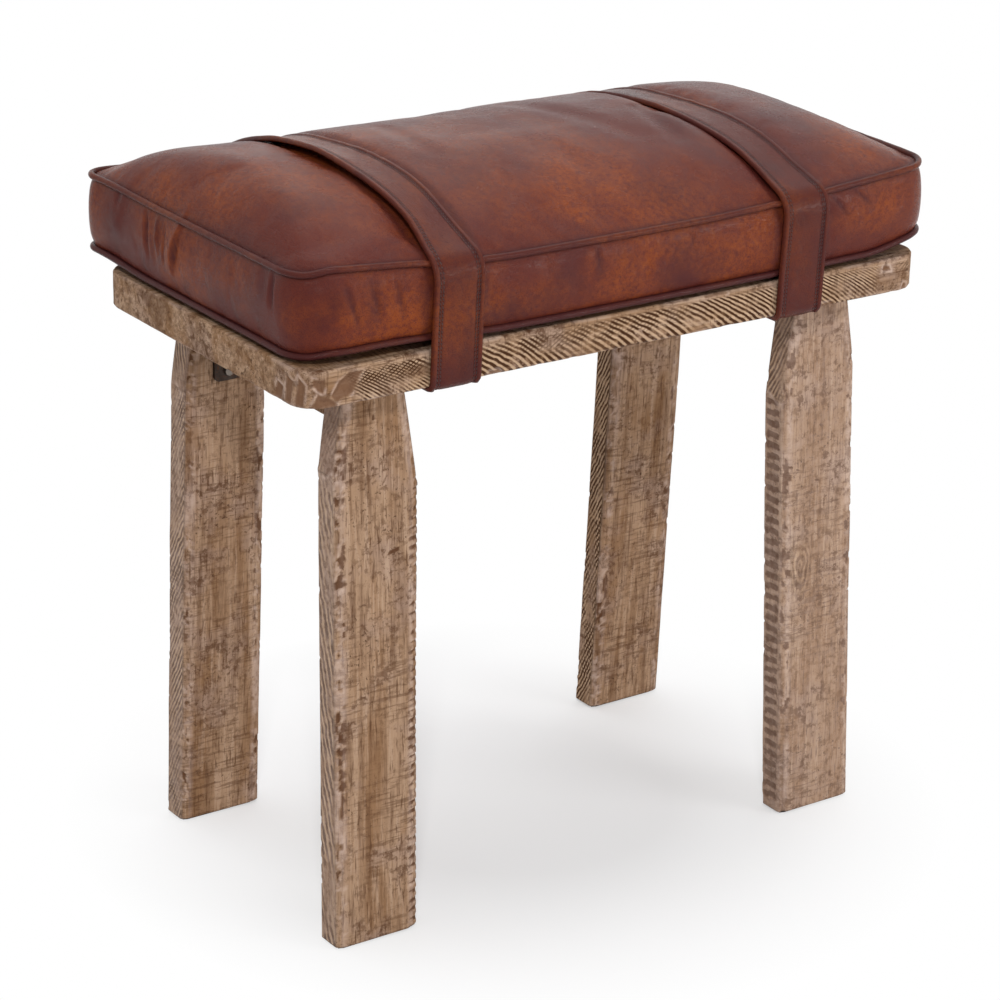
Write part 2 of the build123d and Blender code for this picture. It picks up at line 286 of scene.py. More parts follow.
def leather(name, deep, middle, warm, rough, grain=1.0):
    """Burnished leather: deep, middle and warm tones in soft patches, pores and fine creases. Its point marks say
    where it is darker, warmer and glossier."""
    finish = Finish(name)
    flecks = finish.noise(260, 4, 0.62)
    streaks = finish.noise(26, 5, 0.6, finish.stretch((1, 0.55, 1), turn=(0, 0, 0.5)))
    warmth = finish.ramp(finish.noise(9, 4, 0.55, distortion=0.6), 0.42, 0.68)
    warmth = finish.plus(finish.plus(warmth, finish.ramp(streaks, 0.45, 0.75, 0, 0.4)), finish.mark("warm"))
    warmth = finish.times(warmth, finish.ramp(flecks, 0.34, 0.60, 0.25, 1.25), clamp=True)
    # The dark mark holds painted shade in the cushion's folds, along its seams and beside its straps, and on the
    # piping's inner side and underside, as well as the leather's own dark marks
    depth = finish.most(finish.times(finish.patches(15, 5, (3, 1, 7), 0.5, 0.72), 0.6), finish.mark("dark"))
    specks = finish.ramp(finish.noise(1500, 3, 0.6), 0.48, 0.68, 0, 0.6)
    colour = finish.coated(middle, (warmth, warm), (finish.times(depth, 0.85, clamp=True), deep), (specks, deep))
    pores = finish.add("ShaderNodeTexVoronoi", {"Vector": finish.place, "Scale": 1500.0},
                       feature="DISTANCE_TO_EDGE").outputs["Distance"]
    creases = finish.noise(70, 6, 0.65, finish.stretch((1, 0.3, 1), turn=(0.2, 0, 0.9)))
    creases = finish.ramp(finish.math("ABSOLUTE", finish.minus(creases, 0.5)), 0, 0.035, -0.5, 0)
    height = finish.plus(finish.ramp(pores, 0, 0.22, 0, 0.35 * grain), finish.times(flecks, 1.1 * grain))
    rubbed = finish.ramp(finish.noise(22, 4, 0.6), 0.3, 0.7, rough - 0.07, rough + 0.1)
    # The specular level is low, or the white surroundings veil the dark leather
    finish.set(Base_Color=colour, Roughness=finish.minus(rubbed, finish.times(finish.mark("gloss"), 0.11)),
               Specular_IOR_Level=0.10, Normal=finish.bump(finish.plus(height, creases), 0.00026, 0.65))
    return finish.material


TRIM_DEEP = (0.026, 0.007, 0.010)
cover_leather = leather("cover_leather", (0.032, 0.008, 0.012), (0.104, 0.020, 0.012), (0.215, 0.046, 0.009), 0.25)
trim_leather = leather("trim_leather", TRIM_DEEP, (0.080, 0.017, 0.012), (0.150, 0.034, 0.010), 0.26, 0.7)
strap_leather = leather("strap_leather", TRIM_DEEP, (0.092, 0.019, 0.012), (0.165, 0.036, 0.009), 0.25, 0.8)


# Cushion

GRID_LONG = 128
GRID_SHORT = 72
RING = 2 * (GRID_LONG + GRID_SHORT)


def half_side(length, depth, first, second, shares):
    """One side of a rounded rectangle, from the middle of its first corner to the middle of its second."""
    quarter = pi / 4
    straight = 2 * length - first - second
    along = shares * (straight + (first + second) * quarter)
    start = quarter - np.clip(along / first, 0, quarter)
    end = np.clip((along - first * quarter - straight) / second, 0, quarter)
    level = np.clip(along - first * quarter, 0, straight)
    out = -length + first + level - first * np.sin(start) + second * np.sin(end)
    return np.stack([out, -depth + first * (1 - np.cos(start)) + second * (1 - np.cos(end))], -1)


# The cushion's corners aren't alike: radius, and how far each stands out along X and Y
CORNERS = {(-1, -1): (32, 4.0, -2.0), (1, -1): (21, -1.5, -0.5), (-1, 1): (12, 7.0, 9.0), (1, 1): (24, 1.0, 0.0)}


def bowed(points):
    """A rounded rectangle's points with its sides bowed out, and each corner pulled its own way."""
    across = points[..., 0] / CUSHION_HALF_LENGTH
    deep = points[..., 1] / CUSHION_HALF_DEPTH
    bow_x = 1 - SHORT_BOW / CUSHION_HALF_LENGTH * deep ** 2
    bow_y = 1 - LONG_BOW / CUSHION_HALF_DEPTH * across ** 2
    pulled = points * np.stack([bow_x, bow_y], -1)
    for (side_x, side_y), (_, out_x, out_y) in CORNERS.items():
        share = np.clip(side_x * across, 0, 1.1) ** 3 * np.clip(side_y * deep, 0, 1.1) ** 3
        pulled = pulled + share[..., None] * np.array([side_x * out_x, side_y * out_y])
    return pulled


def cushion_plan(inset=0.0):
    """A grid of plan points over the cushion, from the front left corner, drawn in by an inset."""
    long_share, short_share = np.linspace(0, 1, GRID_LONG + 1), np.linspace(0, 1, GRID_SHORT + 1)
    half_x, half_y = CUSHION_HALF_LENGTH - inset, CUSHION_HALF_DEPTH - inset
    radius = {corner: values[0] - 0.7 * inset for corner, values in CORNERS.items()}
    front = half_side(half_x, half_y, radius[-1, -1], radius[1, -1], long_share)
    back = half_side(half_x, half_y, radius[-1, 1], radius[1, 1], long_share) * (1, -1)
    left = half_side(half_y, half_x, radius[-1, -1], radius[-1, 1], short_share)[:, ::-1]
    right = half_side(half_y, half_x, radius[1, -1], radius[1, 1], short_share)[:, ::-1] * (-1, 1)
    u, v = long_share[:, None, None], short_share[None, :, None]
    sides = (1 - v) * front[:, None] + v * back[:, None] + (1 - u) * left[None] + u * right[None]
    corners = (1 - u) * (1 - v) * front[0] + u * (1 - v) * front[-1] + (1 - u) * v * back[0] + u * v * back[-1]
    return bowed(sides - corners)


def ring_places():
    """Grid places of the plan's edge, once round from the front left corner."""
    places = [(i, 0) for i in range(GRID_LONG)]
    places += [(GRID_LONG, j) for j in range(GRID_SHORT)]
    places += [(i, GRID_SHORT) for i in range(GRID_LONG, 0, -1)]
    places += [(0, j) for j in range(GRID_SHORT, 0, -1)]
    return np.array(places)


def outward_of(ring):
    along = np.roll(ring, -1, 0) - np.roll(ring, 1, 0)
    out = np.stack([along[:, 1], -along[:, 0]], -1)
    return out / np.linalg.norm(out, axis=1)[:, None]


def strap_share(x, margin=0.0):
    """1 under the straps, falling to 0 beside them."""
    apart = np.minimum(np.abs(x - SHIFT_X - STRAP_X), np.abs(x - SHIFT_X + STRAP_X))
    return 1 - smooth_step(apart, STRAP_WIDTH / 2 - 1 + margin, STRAP_WIDTH / 2 + 5 + margin)


def front_left_rise(x, y):
    """1 where the front edge curves up beside its left corner."""
    return smooth_step(-y, 108, 134) * smooth_step(-x, 100, 190) * (1 - smooth_step(-x, 230, 251))


def top_seam_z(x, y):
    """The upper seam is held down by the straps and rises to the ends and corners."""
    left = smooth_step(-x, 150, 245) * (4.4 + 0.5 * smooth_step(-y, 50, 125) + 2.0 * smooth_step(y, 50, 125))
    left = left + 4.8 * front_left_rise(x, y)
    right = 9.5 * np.clip((x - 50) / 200, 0, 1) ** 1.4 * (1 - 0.5 * smooth_step(y, 50, 130))
    return TOP_SEAM + left + right - 0.8 * strap_share(x)


def bottom_seam_z(x, y):
    """The lower seam rests near the board. It dips at the left end, and rises at the right end, at the back left
    corner and where the front edge curves up."""
    end = smooth_step(np.abs(x), 190, 250)
    corner_rise = np.where(x > 0, 6.2, 4.2 * (y > 0)) * end * smooth_step(np.abs(y), 60, 132)
    return BOTTOM_SEAM + np.where(x > 0, 1.6, -1.0) * end + corner_rise + 3.4 * front_left_rise(x, y)


def lower_plan(place):
    """Plan points of the lower seam: as the upper ones, but a little further out at the front right corner."""
    share = smooth_step(place[..., 0], 195, 250) * smooth_step(-place[..., 1], 50, 125)
    return place + share[..., None] * np.array([2.0, 0.5])


EDGE = cushion_plan()[ring_places()[:, 0], ring_places()[:, 1]]


def edge_y(x, side):
    """Where the front or back edge of the cushion is, at a distance from its middle."""
    row = EDGE[:GRID_LONG + 1] if side < 0 else EDGE[GRID_LONG + GRID_SHORT:2 * GRID_LONG + GRID_SHORT][::-1]
    return float(np.interp(x, row[:, 0], row[:, 1]))


# Height of the crown over its seam at places along the cushion, and how wide its fall is at each end
CROWN_X = (-252, -145, 0, 131, 252)
CROWN_RISE = (36, 41, 38, 36, 15)
CROWN_FALLS = (58, 74)
CROWN_SCALE = 0.955


def crown_height(x, along, across):
    """Height of the crown over its seam, by distance from the left end and by share from long edge to middle."""
    tall = sum(np.interp(x + step, CROWN_X, CROWN_RISE) for step in (-36, -18, 0, 18, 36)) / 5
    left, right = (1 - (1 - np.clip(gap / fall, 0, 1)) ** 4.5
                   for gap, fall in zip((along, 2 * CUSHION_HALF_LENGTH - along), CROWN_FALLS))
    return CROWN_SCALE * tall * left * right * (1 - (1 - across) ** 2.8)


def strap_dent(x, from_edge):
    """How far the straps press into the crown, away from its edge."""
    return 2.6 * strap_share(x) * smooth_step(from_edge, 2, 22)


BAND_SHARES = (0.07, 0.16, 0.26, 0.36, 0.46, 0.56, 0.66, 0.76, 0.86, 0.94)


def cushion_shape():
    """The cushion before it is blown up: a closed mesh of crown, side band and base, and which points are held."""
    plan, edge = cushion_plan(COVER_INSET), ring_places()
    ring = plan[edge[:, 0], edge[:, 1]]
    outward = outward_of(ring)
    x, y = plan[..., 0], plan[..., 1]
    along = np.linspace(0, 2 * CUSHION_HALF_LENGTH, GRID_LONG + 1)[:, None]
    across = (1 - np.abs(np.linspace(-1, 1, GRID_SHORT + 1)))[None]
    apart = np.minimum(np.minimum(along, 2 * CUSHION_HALF_LENGTH - along), across * CUSHION_HALF_DEPTH)
    rise = crown_height(x, along, across)
    for _ in range(4):
        rise[1:-1, 1:-1] = (rise[:-2, 1:-1] + rise[2:, 1:-1] + rise[1:-1, :-2] + rise[1:-1, 2:]) / 4
    top = np.stack([x, y, top_seam_z(x, y) + rise - strap_dent(x, apart)], -1)
    rest = BOARD_TOP + BASE_GAP
    base = np.dstack([lower_plan(plan), rest + (bottom_seam_z(x, y) - rest) * (1 - smooth_step(apart, 0, 26))])
    high_z, low_z = top_seam_z(*ring.T), bottom_seam_z(*ring.T)
    bulge = BAND_BULGE - 1.6 + 0.9 * strap_share(ring[:, 0])
    points = [top.reshape(-1, 3)]
    for share in BAND_SHARES:
        out = (1.6 + bulge * 4 * share * (1 - share)) * min(1, 9 * share, 9 * (1 - share))
        place = ring + (lower_plan(ring) - ring) * share + outward * out[:, None]
        points.append(np.column_stack([place, high_z + (low_z - high_z) * share]))
    points = np.concatenate([*points, base.reshape(-1, 3)])
    columns = GRID_SHORT + 1
    band_start = (GRID_LONG + 1) * columns
    base_start = band_start + RING * len(BAND_SHARES)
    rings = [edge[:, 0] * columns + edge[:, 1]]
    rings += [band_start + RING * row + np.arange(RING) for row in range(len(BAND_SHARES))]
    rings.append(rings[0] + base_start)
    faces = grid_faces(GRID_LONG + 1, columns)
    faces += [[corner + base_start for corner in face] for face in faces]
    for upper, lower in zip(rings[:-1], rings[1:]):
        faces += np.stack([upper, np.roll(upper, -1), np.roll(lower, -1), lower], -1).tolist()
    held = strap_share(points[:, 0], -2) > 0.5
    held[rings[0]] = True
    held[base_start:] = True
    return points, faces, held


# Cloth that holds its shape well and swells a little
CLOTH = {"quality": 6, "mass": 0.3, "tension_stiffness": 18, "compression_stiffness": 18, "shear_stiffness": 8,
         "bending_stiffness": 0.6, "use_pressure": True, "uniform_pressure_force": 4, "vertex_group_mass": "held",
         "shrink_min": -0.006}
CLOTH_FRAMES = 20


def inflate(points, faces, held, cap):
    """Cloth pressure swells the cover where seams and straps don't hold it, by no more than a cap."""
    piece = add_piece("cushion_form", points, faces, None)
    piece.vertex_groups.new(name="held").add(np.flatnonzero(held).tolist(), 1.0, "REPLACE")
    cloth = piece.modifiers.new("cloth", "CLOTH")
    for key, value in CLOTH.items():
        setattr(cloth.settings, key, value)
    cloth.settings.effector_weights.gravity = 0
    cloth.collision_settings.use_collision = cloth.collision_settings.use_self_collision = False
    for step in range(1, CLOTH_FRAMES + 1):
        bpy.context.scene.frame_set(step)
    shown = piece.evaluated_get(bpy.context.evaluated_depsgraph_get())
    move = np.array([vertex.co for vertex in shown.data.vertices]) / MM - points
    bpy.context.scene.frame_set(1)
    bpy.data.objects.remove(piece)
    length = np.linalg.norm(move, axis=1)
    share = cap * np.tanh(length / cap) / np.maximum(length, 0.001)
    return points + move * share[:, None]


def subdivided(points, faces):
    """One Catmull-Clark subdivision, as points and faces in millimetres, with normals."""
    piece = add_piece("cushion_finer", points, faces, None)
    piece.modifiers.new("finer", "SUBSURF").levels = 1
    mesh = bpy.data.meshes.new_from_object(piece.evaluated_get(bpy.context.evaluated_depsgraph_get()))
    points = np.array([vertex.co for vertex in mesh.vertices]) / MM
    normals = np.array([vertex.normal for vertex in mesh.vertices])
    faces = [list(face.vertices) for face in mesh.polygons]
    bpy.data.objects.remove(piece)
    return points, faces, normals


def near_line(points, start, end):
    """Distance from a line and share along it, for points near a flat patch of the cover."""
    start, end = np.array(start, float), np.array(end, float)
    along = end - start
    length = np.linalg.norm(along)
    share = np.clip((points - start) @ along / length ** 2, 0, 1)
    return np.linalg.norm(points - start - share[:, None] * along, axis=1), share


# Folds: start, end, width and depth, in millimetres; a negative depth stands proud
FOLDS = [
    ((-226, -138, 466), (-214, -141, 430), 5.0, 0.9),
    ((-207, -139, 465), (-199, -142, 428), 4.5, 1.1),
    ((-216, -139, 465), (-207, -142, 436), 4.0, -0.7),
    ((-190, -140, 465), (-181, -143, 424), 4.0, 1.2),
    ((-199, -140, 464), (-190, -143, 440), 4.0, -0.6),
    ((-172, -141, 463), (-166, -144, 442), 3.5, 0.9),
    ((-38, -141, 465), (-36, -144, 444), 3.5, 0.8),
    ((38, -141, 466), (40, -144, 446), 3.0, 1.0),
    ((146, -139, 466), (160, -142, 450), 3.5, 0.8),
    ((158, -139, 467), (174, -142, 448), 3.0, 0.8),
    ((176, -138, 470), (196, -141, 452), 3.5, 0.7),
    ((190, -138, 470), (204, -140, 458), 3.0, 0.6),
    ((-254, 64, 468), (-256, 57, 434), 4.0, 0.9),
    ((-254, 50, 468), (-257, 45, 436), 3.5, -0.8),
    ((-254, 38, 469), (-257, 36, 432), 3.0, 1.0),
    ((-254, -96, 468), (-257, -99, 444), 5.0, 0.9),
    ((-252, 100, 468), (-254, 101, 440), 5.0, 0.8),
    ((-244, 122, 468), (-246, 124, 424), 5.0, 1.0),
    ((-235, 30, 486), (-222, 52, 494), 5.0, 0.7),
    ((-236, -8, 486), (-214, 8, 495), 5.0, 0.6),
    ((-238, -36, 485), (-222, -28, 492), 5.0, 0.6),
    ((96, 0, 500), (84, -70, 497), 16.0, 1.6),
    ((-84, 40, 501), (-96, -40, 500), 16.0, 1.2),
    ((30, 60, 502), (60, -60, 499), 22.0, 1.0),
    ((250, 20, 468), (256, 26, 436), 4.0, 0.9),
    ((250, -40, 468), (256, -46, 440), 4.5, 0.8),
    ((60, 138, 466), (66, 141, 436), 4.0, 0.9),
    ((-60, 138, 466), (-70, 141, 440), 4.0, 0.9),
]

# Dark rubbed marks and warm patches: middle, reach along each axis in millimetres, and strength
DARK_SPOTS = [
    ((-37, -142, 456), (3.5, 12, 16), 0.9), ((39, -142, 461), (3.5, 12, 15), 0.85),
    ((42, -142, 440), (10, 12, 8), 0.4), ((-205, -142, 450), (6, 12, 16), 0.6),
    ((-232, -135, 455), (7, 14, 12), 0.5), ((-166, -142, 448), (8, 12, 20), 0.5),
    ((-256, 46, 452), (14, 13, 22), 0.7), ((-256, -80, 452), (14, 20, 22), 0.35),
    ((-256, 104, 452), (14, 22, 26), 0.45), ((150, -142, 462), (10, 12, 16), 0.5),
    ((-100, -40, 498), (22, 90, 30), 0.35), ((96, -20, 500), (20, 90, 30), 0.45),
    ((0, 60, 502), (130, 60, 30), 0.4), ((-190, 90, 496), (50, 50, 30), 0.4),
    ((205, 40, 496), (50, 90, 30), 0.35),
]
WARM_SPOTS = [
    ((-222, 48, 486), (22, 30, 16), 0.6), ((-218, -8, 490), (30, 24, 16), 0.55),
    ((-190, -40, 494), (34, 26, 16), 0.45), ((-200, -104, 484), (34, 18, 16), 0.5),
    ((-60, -112, 484), (50, 24, 16), 0.6), ((10, -110, 484), (40, 24, 18), 0.55),
    ((62, -108, 486), (30, 26, 18), 0.5), ((190, -100, 484), (40, 30, 18), 0.35),
    ((-222, -138, 446), (22, 14, 14), 0.5), ((-90, -142, 436), (40, 14, 12), 0.6),
    ((0, -142, 446), (34, 14, 14), 0.5), ((76, -142, 450), (26, 14, 18), 0.6),
    ((190, -140, 448), (30, 14, 18), 0.6), ((-256, 20, 440), (14, 18, 14), 0.4),
    ((-256, -50, 450), (14, 22, 16), 0.45),
]

# The pleat in the left end, as a line from top to bottom
SLIT = np.array([(-256, 18, 470), (-257, 27, 430)])


def spots(points, places):
    total = np.zeros(len(points))
    for middle, reach, strength in places:
        total = np.maximum(total, strength * np.exp(-(((points - middle) / reach) ** 2).sum(1)))
    return total


def folded(points):
    """How far the folds and the pleat move the cover's points out, and the painted shade they put in their grooves.
    """
    move, dark = np.zeros(len(points)), np.zeros(len(points))
    for start, end, width, depth in FOLDS:
        apart, share = near_line(points, start, end)
        fade = np.sin(pi * np.clip(0.12 + 0.88 * share, 0, 1)) ** 0.6
        move -= 2.7 * depth * fade * (bell(apart, width / 2) - 0.4 * bell(apart, width))
        # Painted shade down each narrow groove
        if depth > 0 and width < 10:
            dark = np.maximum(dark, 0.85 * fade * bell(apart, width / 2))
    apart, share = near_line(points, *SLIT)
    side = points[:, 1] - SLIT[0, 1] - (SLIT[1, 1] - SLIT[0, 1]) * share
    fade = np.sin(pi * np.clip(0.1 + 0.9 * share, 0, 1)) ** 0.5
    move += 2.6 * fade * (bell(apart, 10) * smooth_step(side, -0.8, 0.8) - bell(apart, 1.9))
    # Painted shade down the middle of the pleat
    return move, np.maximum(dark, 1.15 * fade * bell(apart, 2.3))


def make_cushion():
    points, faces, held = cushion_shape()
    points = inflate(points, faces, held, COVER_SWELL)
    points, faces, normals = subdivided(points, faces)
    move, dark = folded(points)
    resting = smooth_step(points[:, 2], BOARD_TOP + 0.6, BOARD_TOP + 4)
    free = resting * (1 - strap_share(points[:, 0], 1))
    crown = smooth_step(points[:, 2], TOP_SEAM + 6, TOP_SEAM + 18)
    move += free * (0.30 * lumps(points, (38, 26, 30), 3) + 0.10 * lumps(points, (13, 9, 11), 5))
    move += free * crown * 0.8 * lumps(points, (80, 56, 60), 8)
    points = points + normals * (move * resting)[:, None]
    x, y, z = points.T
    seam_gap = np.minimum(np.abs(z - top_seam_z(x, y)), np.abs(z - bottom_seam_z(x, y)))
    strap_edge_shade = strap_share(x, 3) * (1 - strap_share(x, -3))
    rubbed = spots(points, DARK_SPOTS) * (0.75 + 0.5 * lumps(points, 9, 21))
    # Painted shade: the folds' grooves, a line along each seam under its piping and a band beside each strap; the
    # dark marks of DARK_SPOTS are added to it
    dark = np.max([dark, 0.75 * bell(seam_gap, 2.6), 0.5 * strap_edge_shade, rubbed], axis=0)
    warm = spots(points, WARM_SPOTS) * (0.85 + 0.35 * lumps(points, 12, 22))
    marks = {"dark": np.clip(dark, 0, 1), "warm": np.clip(warm, 0, 1) - 0.15,
             "gloss": 1 - smooth_step(z, TOP_SEAM + 8, TOP_SEAM + 20)}
    piece = add_piece("cushion_cover", points, faces, cover_leather, marks)
    settle(piece, "cushion_leather", "cushion_core", "cushion_top_panel", "cushion_side_band", "cushion_bottom_panel")


def make_piping(name, place_of, height_of, node, painted_shade):
    """A leather cord in a seam, round the whole cushion, with the fine gathers of its cover and painted shade on its
    inner side and underside.
    """
    ring = place_of(EDGE)
    steps, sides = 4, 14
    fine = resampled(np.arange(RING * steps) / steps, np.arange(RING + 1), np.vstack([ring, ring[:1]]))
    fine = smoothed(fine, 6)
    outward = outward_of(fine)
    offset = outward * (0.1 - 0.5 * strap_share(fine[:, 0], -1))[:, None]
    centre = np.column_stack([fine + offset, height_of(fine[:, 0], fine[:, 1])])
    radius = PIPING_RADIUS + 0.10 * lumps(centre, 5, 31) + 0.12 * lumps(centre, 26, 32)
    turns = np.arange(sides) * 2 * pi / sides
    out = np.column_stack([outward, np.zeros(len(fine))])[:, None]
    spokes = np.cos(turns)[:, None] * out + np.sin(turns)[:, None] * np.array([0, 0, 1.0])
    points = (centre[:, None] + radius[:, None, None] * spokes).reshape(-1, 3)
    outside, above = np.tile(np.cos(turns), len(fine)), np.tile(np.sin(turns), len(fine))
    # Painted shade on the cord's inner side, towards the cover, and on its underside; the lower cord also gets
    # painted shade all over, and less warmth
    dark = 0.7 * smooth_step(-outside, -0.6, 0.4) + 0.5 * smooth_step(-above, -0.1, 0.8)
    dark = np.clip(np.clip(dark + 0.2 * lumps(points, 9, 33), 0, 1) + painted_shade, 0, 1)
    marks = {"dark": dark, "warm": 0.3 * lumps(points, 30, 34) - painted_shade, "gloss": np.full(len(points), 0.8)}
    piece = add_piece(name, points, grid_faces(len(fine), sides, True, True), trim_leather, marks)
    settle(piece, "piping_leather", node)


make_cushion()
make_piping("seam_piping_top", np.array, top_seam_z, "piping_top", 0.0)
# The lower cord gets painted shade all over
make_piping("seam_piping_bottom", lower_plan, bottom_seam_z, "piping_bottom", 0.4)


# Straps

def hull_of(points):
    """The convex outline of points in a plane, anticlockwise."""
    points = sorted(set(map(tuple, np.round(points, 4).tolist())))
    halves = []
    for order in (points, points[::-1]):
        half = []
        for point in order:
            while len(half) > 1 and ((half[-1][0] - half[-2][0]) * (point[1] - half[-2][1])
                                     - (half[-1][1] - half[-2][1]) * (point[0] - half[-2][0])) <= 0:
                half.pop()
            half.append(point)
        halves.append(half[:-1])
    return np.array(halves[0] + halves[1])


def strap_path(x):
    """Points along a strap over cushion and board, from one end under the board to the other, the way out at each,
    and the distance along it."""
    turns = np.linspace(0, 2 * pi, 49)[:-1]

    def circle(y, z, radius):
        return [(y + radius * cos(turn), z + radius * sin(turn)) for turn in turns]

    held = []
    for side in (-1, 1):
        half = side * edge_y(x, side)
        seam, low = float(top_seam_z(x, side * half)), float(bottom_seam_z(x, side * half))
        for z, radius, rise in ((seam, SEAM_BEND, -1), (low, PIPING_RADIUS, 1)):
            back = (radius - PIPING_RADIUS) * 0.7071
            held += circle(side * (half - 0.4 - back), z + rise * back, radius)
        for share in np.linspace(0, 1, 31):
            height = crown_height(x, x + CUSHION_HALF_LENGTH, share) - strap_dent(x, share * half)
            held.append((side * half * (1 - share), seam + float(height)))
        held.append((side * (half + 2.0), (seam + low) / 2))
        for z in (BOARD_UNDERSIDE + BOARD_EDGE, BOARD_TOP - BOARD_EDGE):
            held += circle(side * (BOARD_DEPTH / 2 - BOARD_EDGE) + SHIFT_Y, z, BOARD_EDGE)
    hull = hull_of(held)
    closed = np.vstack([hull, hull[:1]])
    length = length_along(closed)
    line = smoothed(resampled(np.arange(0, length[-1], 0.5), length, closed), 24)
    out = outward_of(line)
    line = line + out * STRAP_STANDOFF
    start = np.argmin(np.abs(line[:, 0] - SHIFT_Y) + 1000 * (line[:, 1] > BOARD_UNDERSIDE))
    line, out = np.roll(line, -start, 0), np.roll(out, -start, 0)
    gap = (line[:, 1] < BOARD_UNDERSIDE) & (np.abs(line[:, 0] - SHIFT_Y) < STRAP_GAP / 2)
    line, out = line[~gap], out[~gap]
    length = length_along(line)
    along = np.linspace(0, length[-1], int(length[-1] / STRAP_STEP))
    line, out = resampled(along, length, line), resampled(along, length, out)
    return line, out / np.linalg.norm(out, axis=1)[:, None], along


def strap_section():
    """Across a strap: offset from its middle, height over its inner face, and how dark it is."""
    half = STRAP_WIDTH / 2
    across = np.concatenate([np.linspace(-half, -half + 6.5, 14), np.linspace(-half + 8, half - 8, 11),
                             np.linspace(half - 6.5, half, 14)])
    inward = half - np.abs(across)
    bead = 0.75 * np.sqrt(np.clip(1 - ((inward - 1.9) / 1.9) ** 2, 0, 1)) * (inward < 3.8)
    edge = np.sqrt(1 - (1 - np.clip(inward / 1.4, 0, 1)) ** 2)
    grooves = 0.5 * bell(inward - 4.3, 0.55) + 0.35 * bell(inward - 6.1, 0.6)
    top = 0.9 + (STRAP_THICKNESS - 0.9 - 0.75) * edge + bead - grooves + 0.25 * smooth_step(inward, 6, 14)
    dark = 0.9 * bell(inward - 4.2, 0.8) + 0.7 * bell(inward - 6.1, 0.7) + 0.35 * bell(inward - 0.2, 0.8)
    low = np.linspace(half - 0.3, -half + 0.3, 9)
    return np.concatenate([across, low]), np.append(top, np.zeros(9)), np.append(dark, np.full(9, 0.6))


def over_crown(across, on_crown, lifted):
    """How far a point of a strap is from its middle, and how far it is lifted. Over the crown the left edge stands
    off the cushion and the right half is drawn in."""
    lift = lifted * on_crown * smooth_step(-across, -4, STRAP_WIDTH / 2)
    return across * (1 - 0.1 * on_crown * (across > 0)) + 0.45 * lift, lift


thread = Finish("dark_thread")
ply = thread.add("ShaderNodeTexWave", {"Vector": thread.stretch((900, 900, 900), turn=(0.6, 0.4, 0.3)),
                                       "Scale": 1.0, "Distortion": 0.4}).outputs["Fac"]
thread.set(Base_Color=thread.mix(ply, (0.022, 0.009, 0.010), (0.065, 0.028, 0.026)), Roughness=0.5,
           Normal=thread.bump(ply, 0.0002))


def make_strap(side, side_x, lifted):
    """A strap with beaded edges, its left edge lifted over the crown by a height."""
    x = SHIFT_X + side_x * STRAP_X
    line, out, along = strap_path(x)
    across, height, dark = strap_section()
    rows, columns = len(line), len(across)
    wander = 0.5 * np.sin(along / 90 + side_x) + 0.25 * np.sin(along / 31)
    on_crown = smooth_step(line[:, 1], TOP_SEAM + 2, TOP_SEAM + 22) * (1 + 0.3 * np.sin(along / 23))
    offset, lift = over_crown(across, on_crown[:, None], lifted)
    rise = height + lift
    points = np.dstack([x + offset + wander[:, None], line[:, 0, None] + out[:, 0, None] * rise,
                        line[:, 1, None] + out[:, 1, None] * rise]).reshape(-1, 3)
    normal = np.repeat(np.column_stack([np.zeros(rows), out]), columns, 0)
    on_top = np.tile(height > 0.5, rows)
    points = points + normal * (on_top * (0.16 * lumps(points, 7, 41) + 0.12 * lumps(points, 17, 42)))[:, None]
    bend = np.concatenate([[0], np.linalg.norm(np.diff(out, axis=0), axis=1)]) / STRAP_STEP
    for _ in range(30):
        bend = (np.roll(bend, 1) + bend + np.roll(bend, -1)) / 3
    shade = np.max([np.tile(dark, rows) * (0.8 + 0.35 * lumps(points, (6, 14, 14), 43)),
                    np.repeat(np.clip(bend * 6, 0, 0.35), columns),
                    0.5 * smooth_step(lumps(points, (24, 30, 30), 44), 0.25, 0.9)], axis=0)
    marks = {"dark": np.clip(shade, 0, 1), "warm": 0.25 * lumps(points, 18, 45) - 0.1,
             "gloss": smooth_step(np.abs(normal[:, 1]), 0.5, 0.9)}
    piece = add_piece(f"leather_strap_{side}", points, tube_faces(rows, columns), strap_leather, marks)
    settle(piece, "strap_leather", f"strap_{side}")
    make_stitches(side, x, resampled(np.arange(6, along[-1] - 6, STITCH_PITCH), along,
                                     np.column_stack([line, out, wander, on_crown])), lifted)


# A stitch: points by their place along the seam, across it and out of it, and faces
STITCH = np.array([(-1, 0, 0), (-0.75, 0.35, 0.3), (-0.75, -0.35, 0.3), (0, 0.42, 0.42), (0, -0.42, 0.42),
                   (0.75, 0.35, 0.3), (0.75, -0.35, 0.3), (1, 0, 0)]) * (1.05, 0.85, 0.8)
STITCH_FACES = [(0, 2, 1), (1, 2, 4, 3), (3, 4, 6, 5), (5, 6, 7), (0, 1, 3, 5, 7, 6, 4, 2)]


def make_stitches(side, x, route, lifted):
    """Two rows of small stitches along each edge of a strap."""
    points, faces = [], []
    for inward, sunk in ((4.2, 1.2), (6.1, 1.05)):
        for edge in (-1, 1):
            for y, z, out_y, out_z, drift, on_crown in route:
                offset, lift = over_crown(edge * (STRAP_WIDTH / 2 - inward), on_crown, lifted)
                height = STRAP_THICKNESS - sunk + lift
                axes = np.array([(0.25 * edge, out_z, -out_y), (1, 0, 0), (0, out_y, out_z)])
                faces += [[len(points) + k for k in face] for face in STITCH_FACES]
                points += list(STITCH @ axes + (x + offset + drift, y + out_y * height, z + out_z * height))
    piece = add_piece(f"strap_stitching_{side}", points, faces, thread.material)
    settle(piece, "strap_leather")


make_strap("left", -1, 3.4)
make_strap("right", 1, 1.8)


# Wood

BROWN = (0.082, 0.034, 0.015)


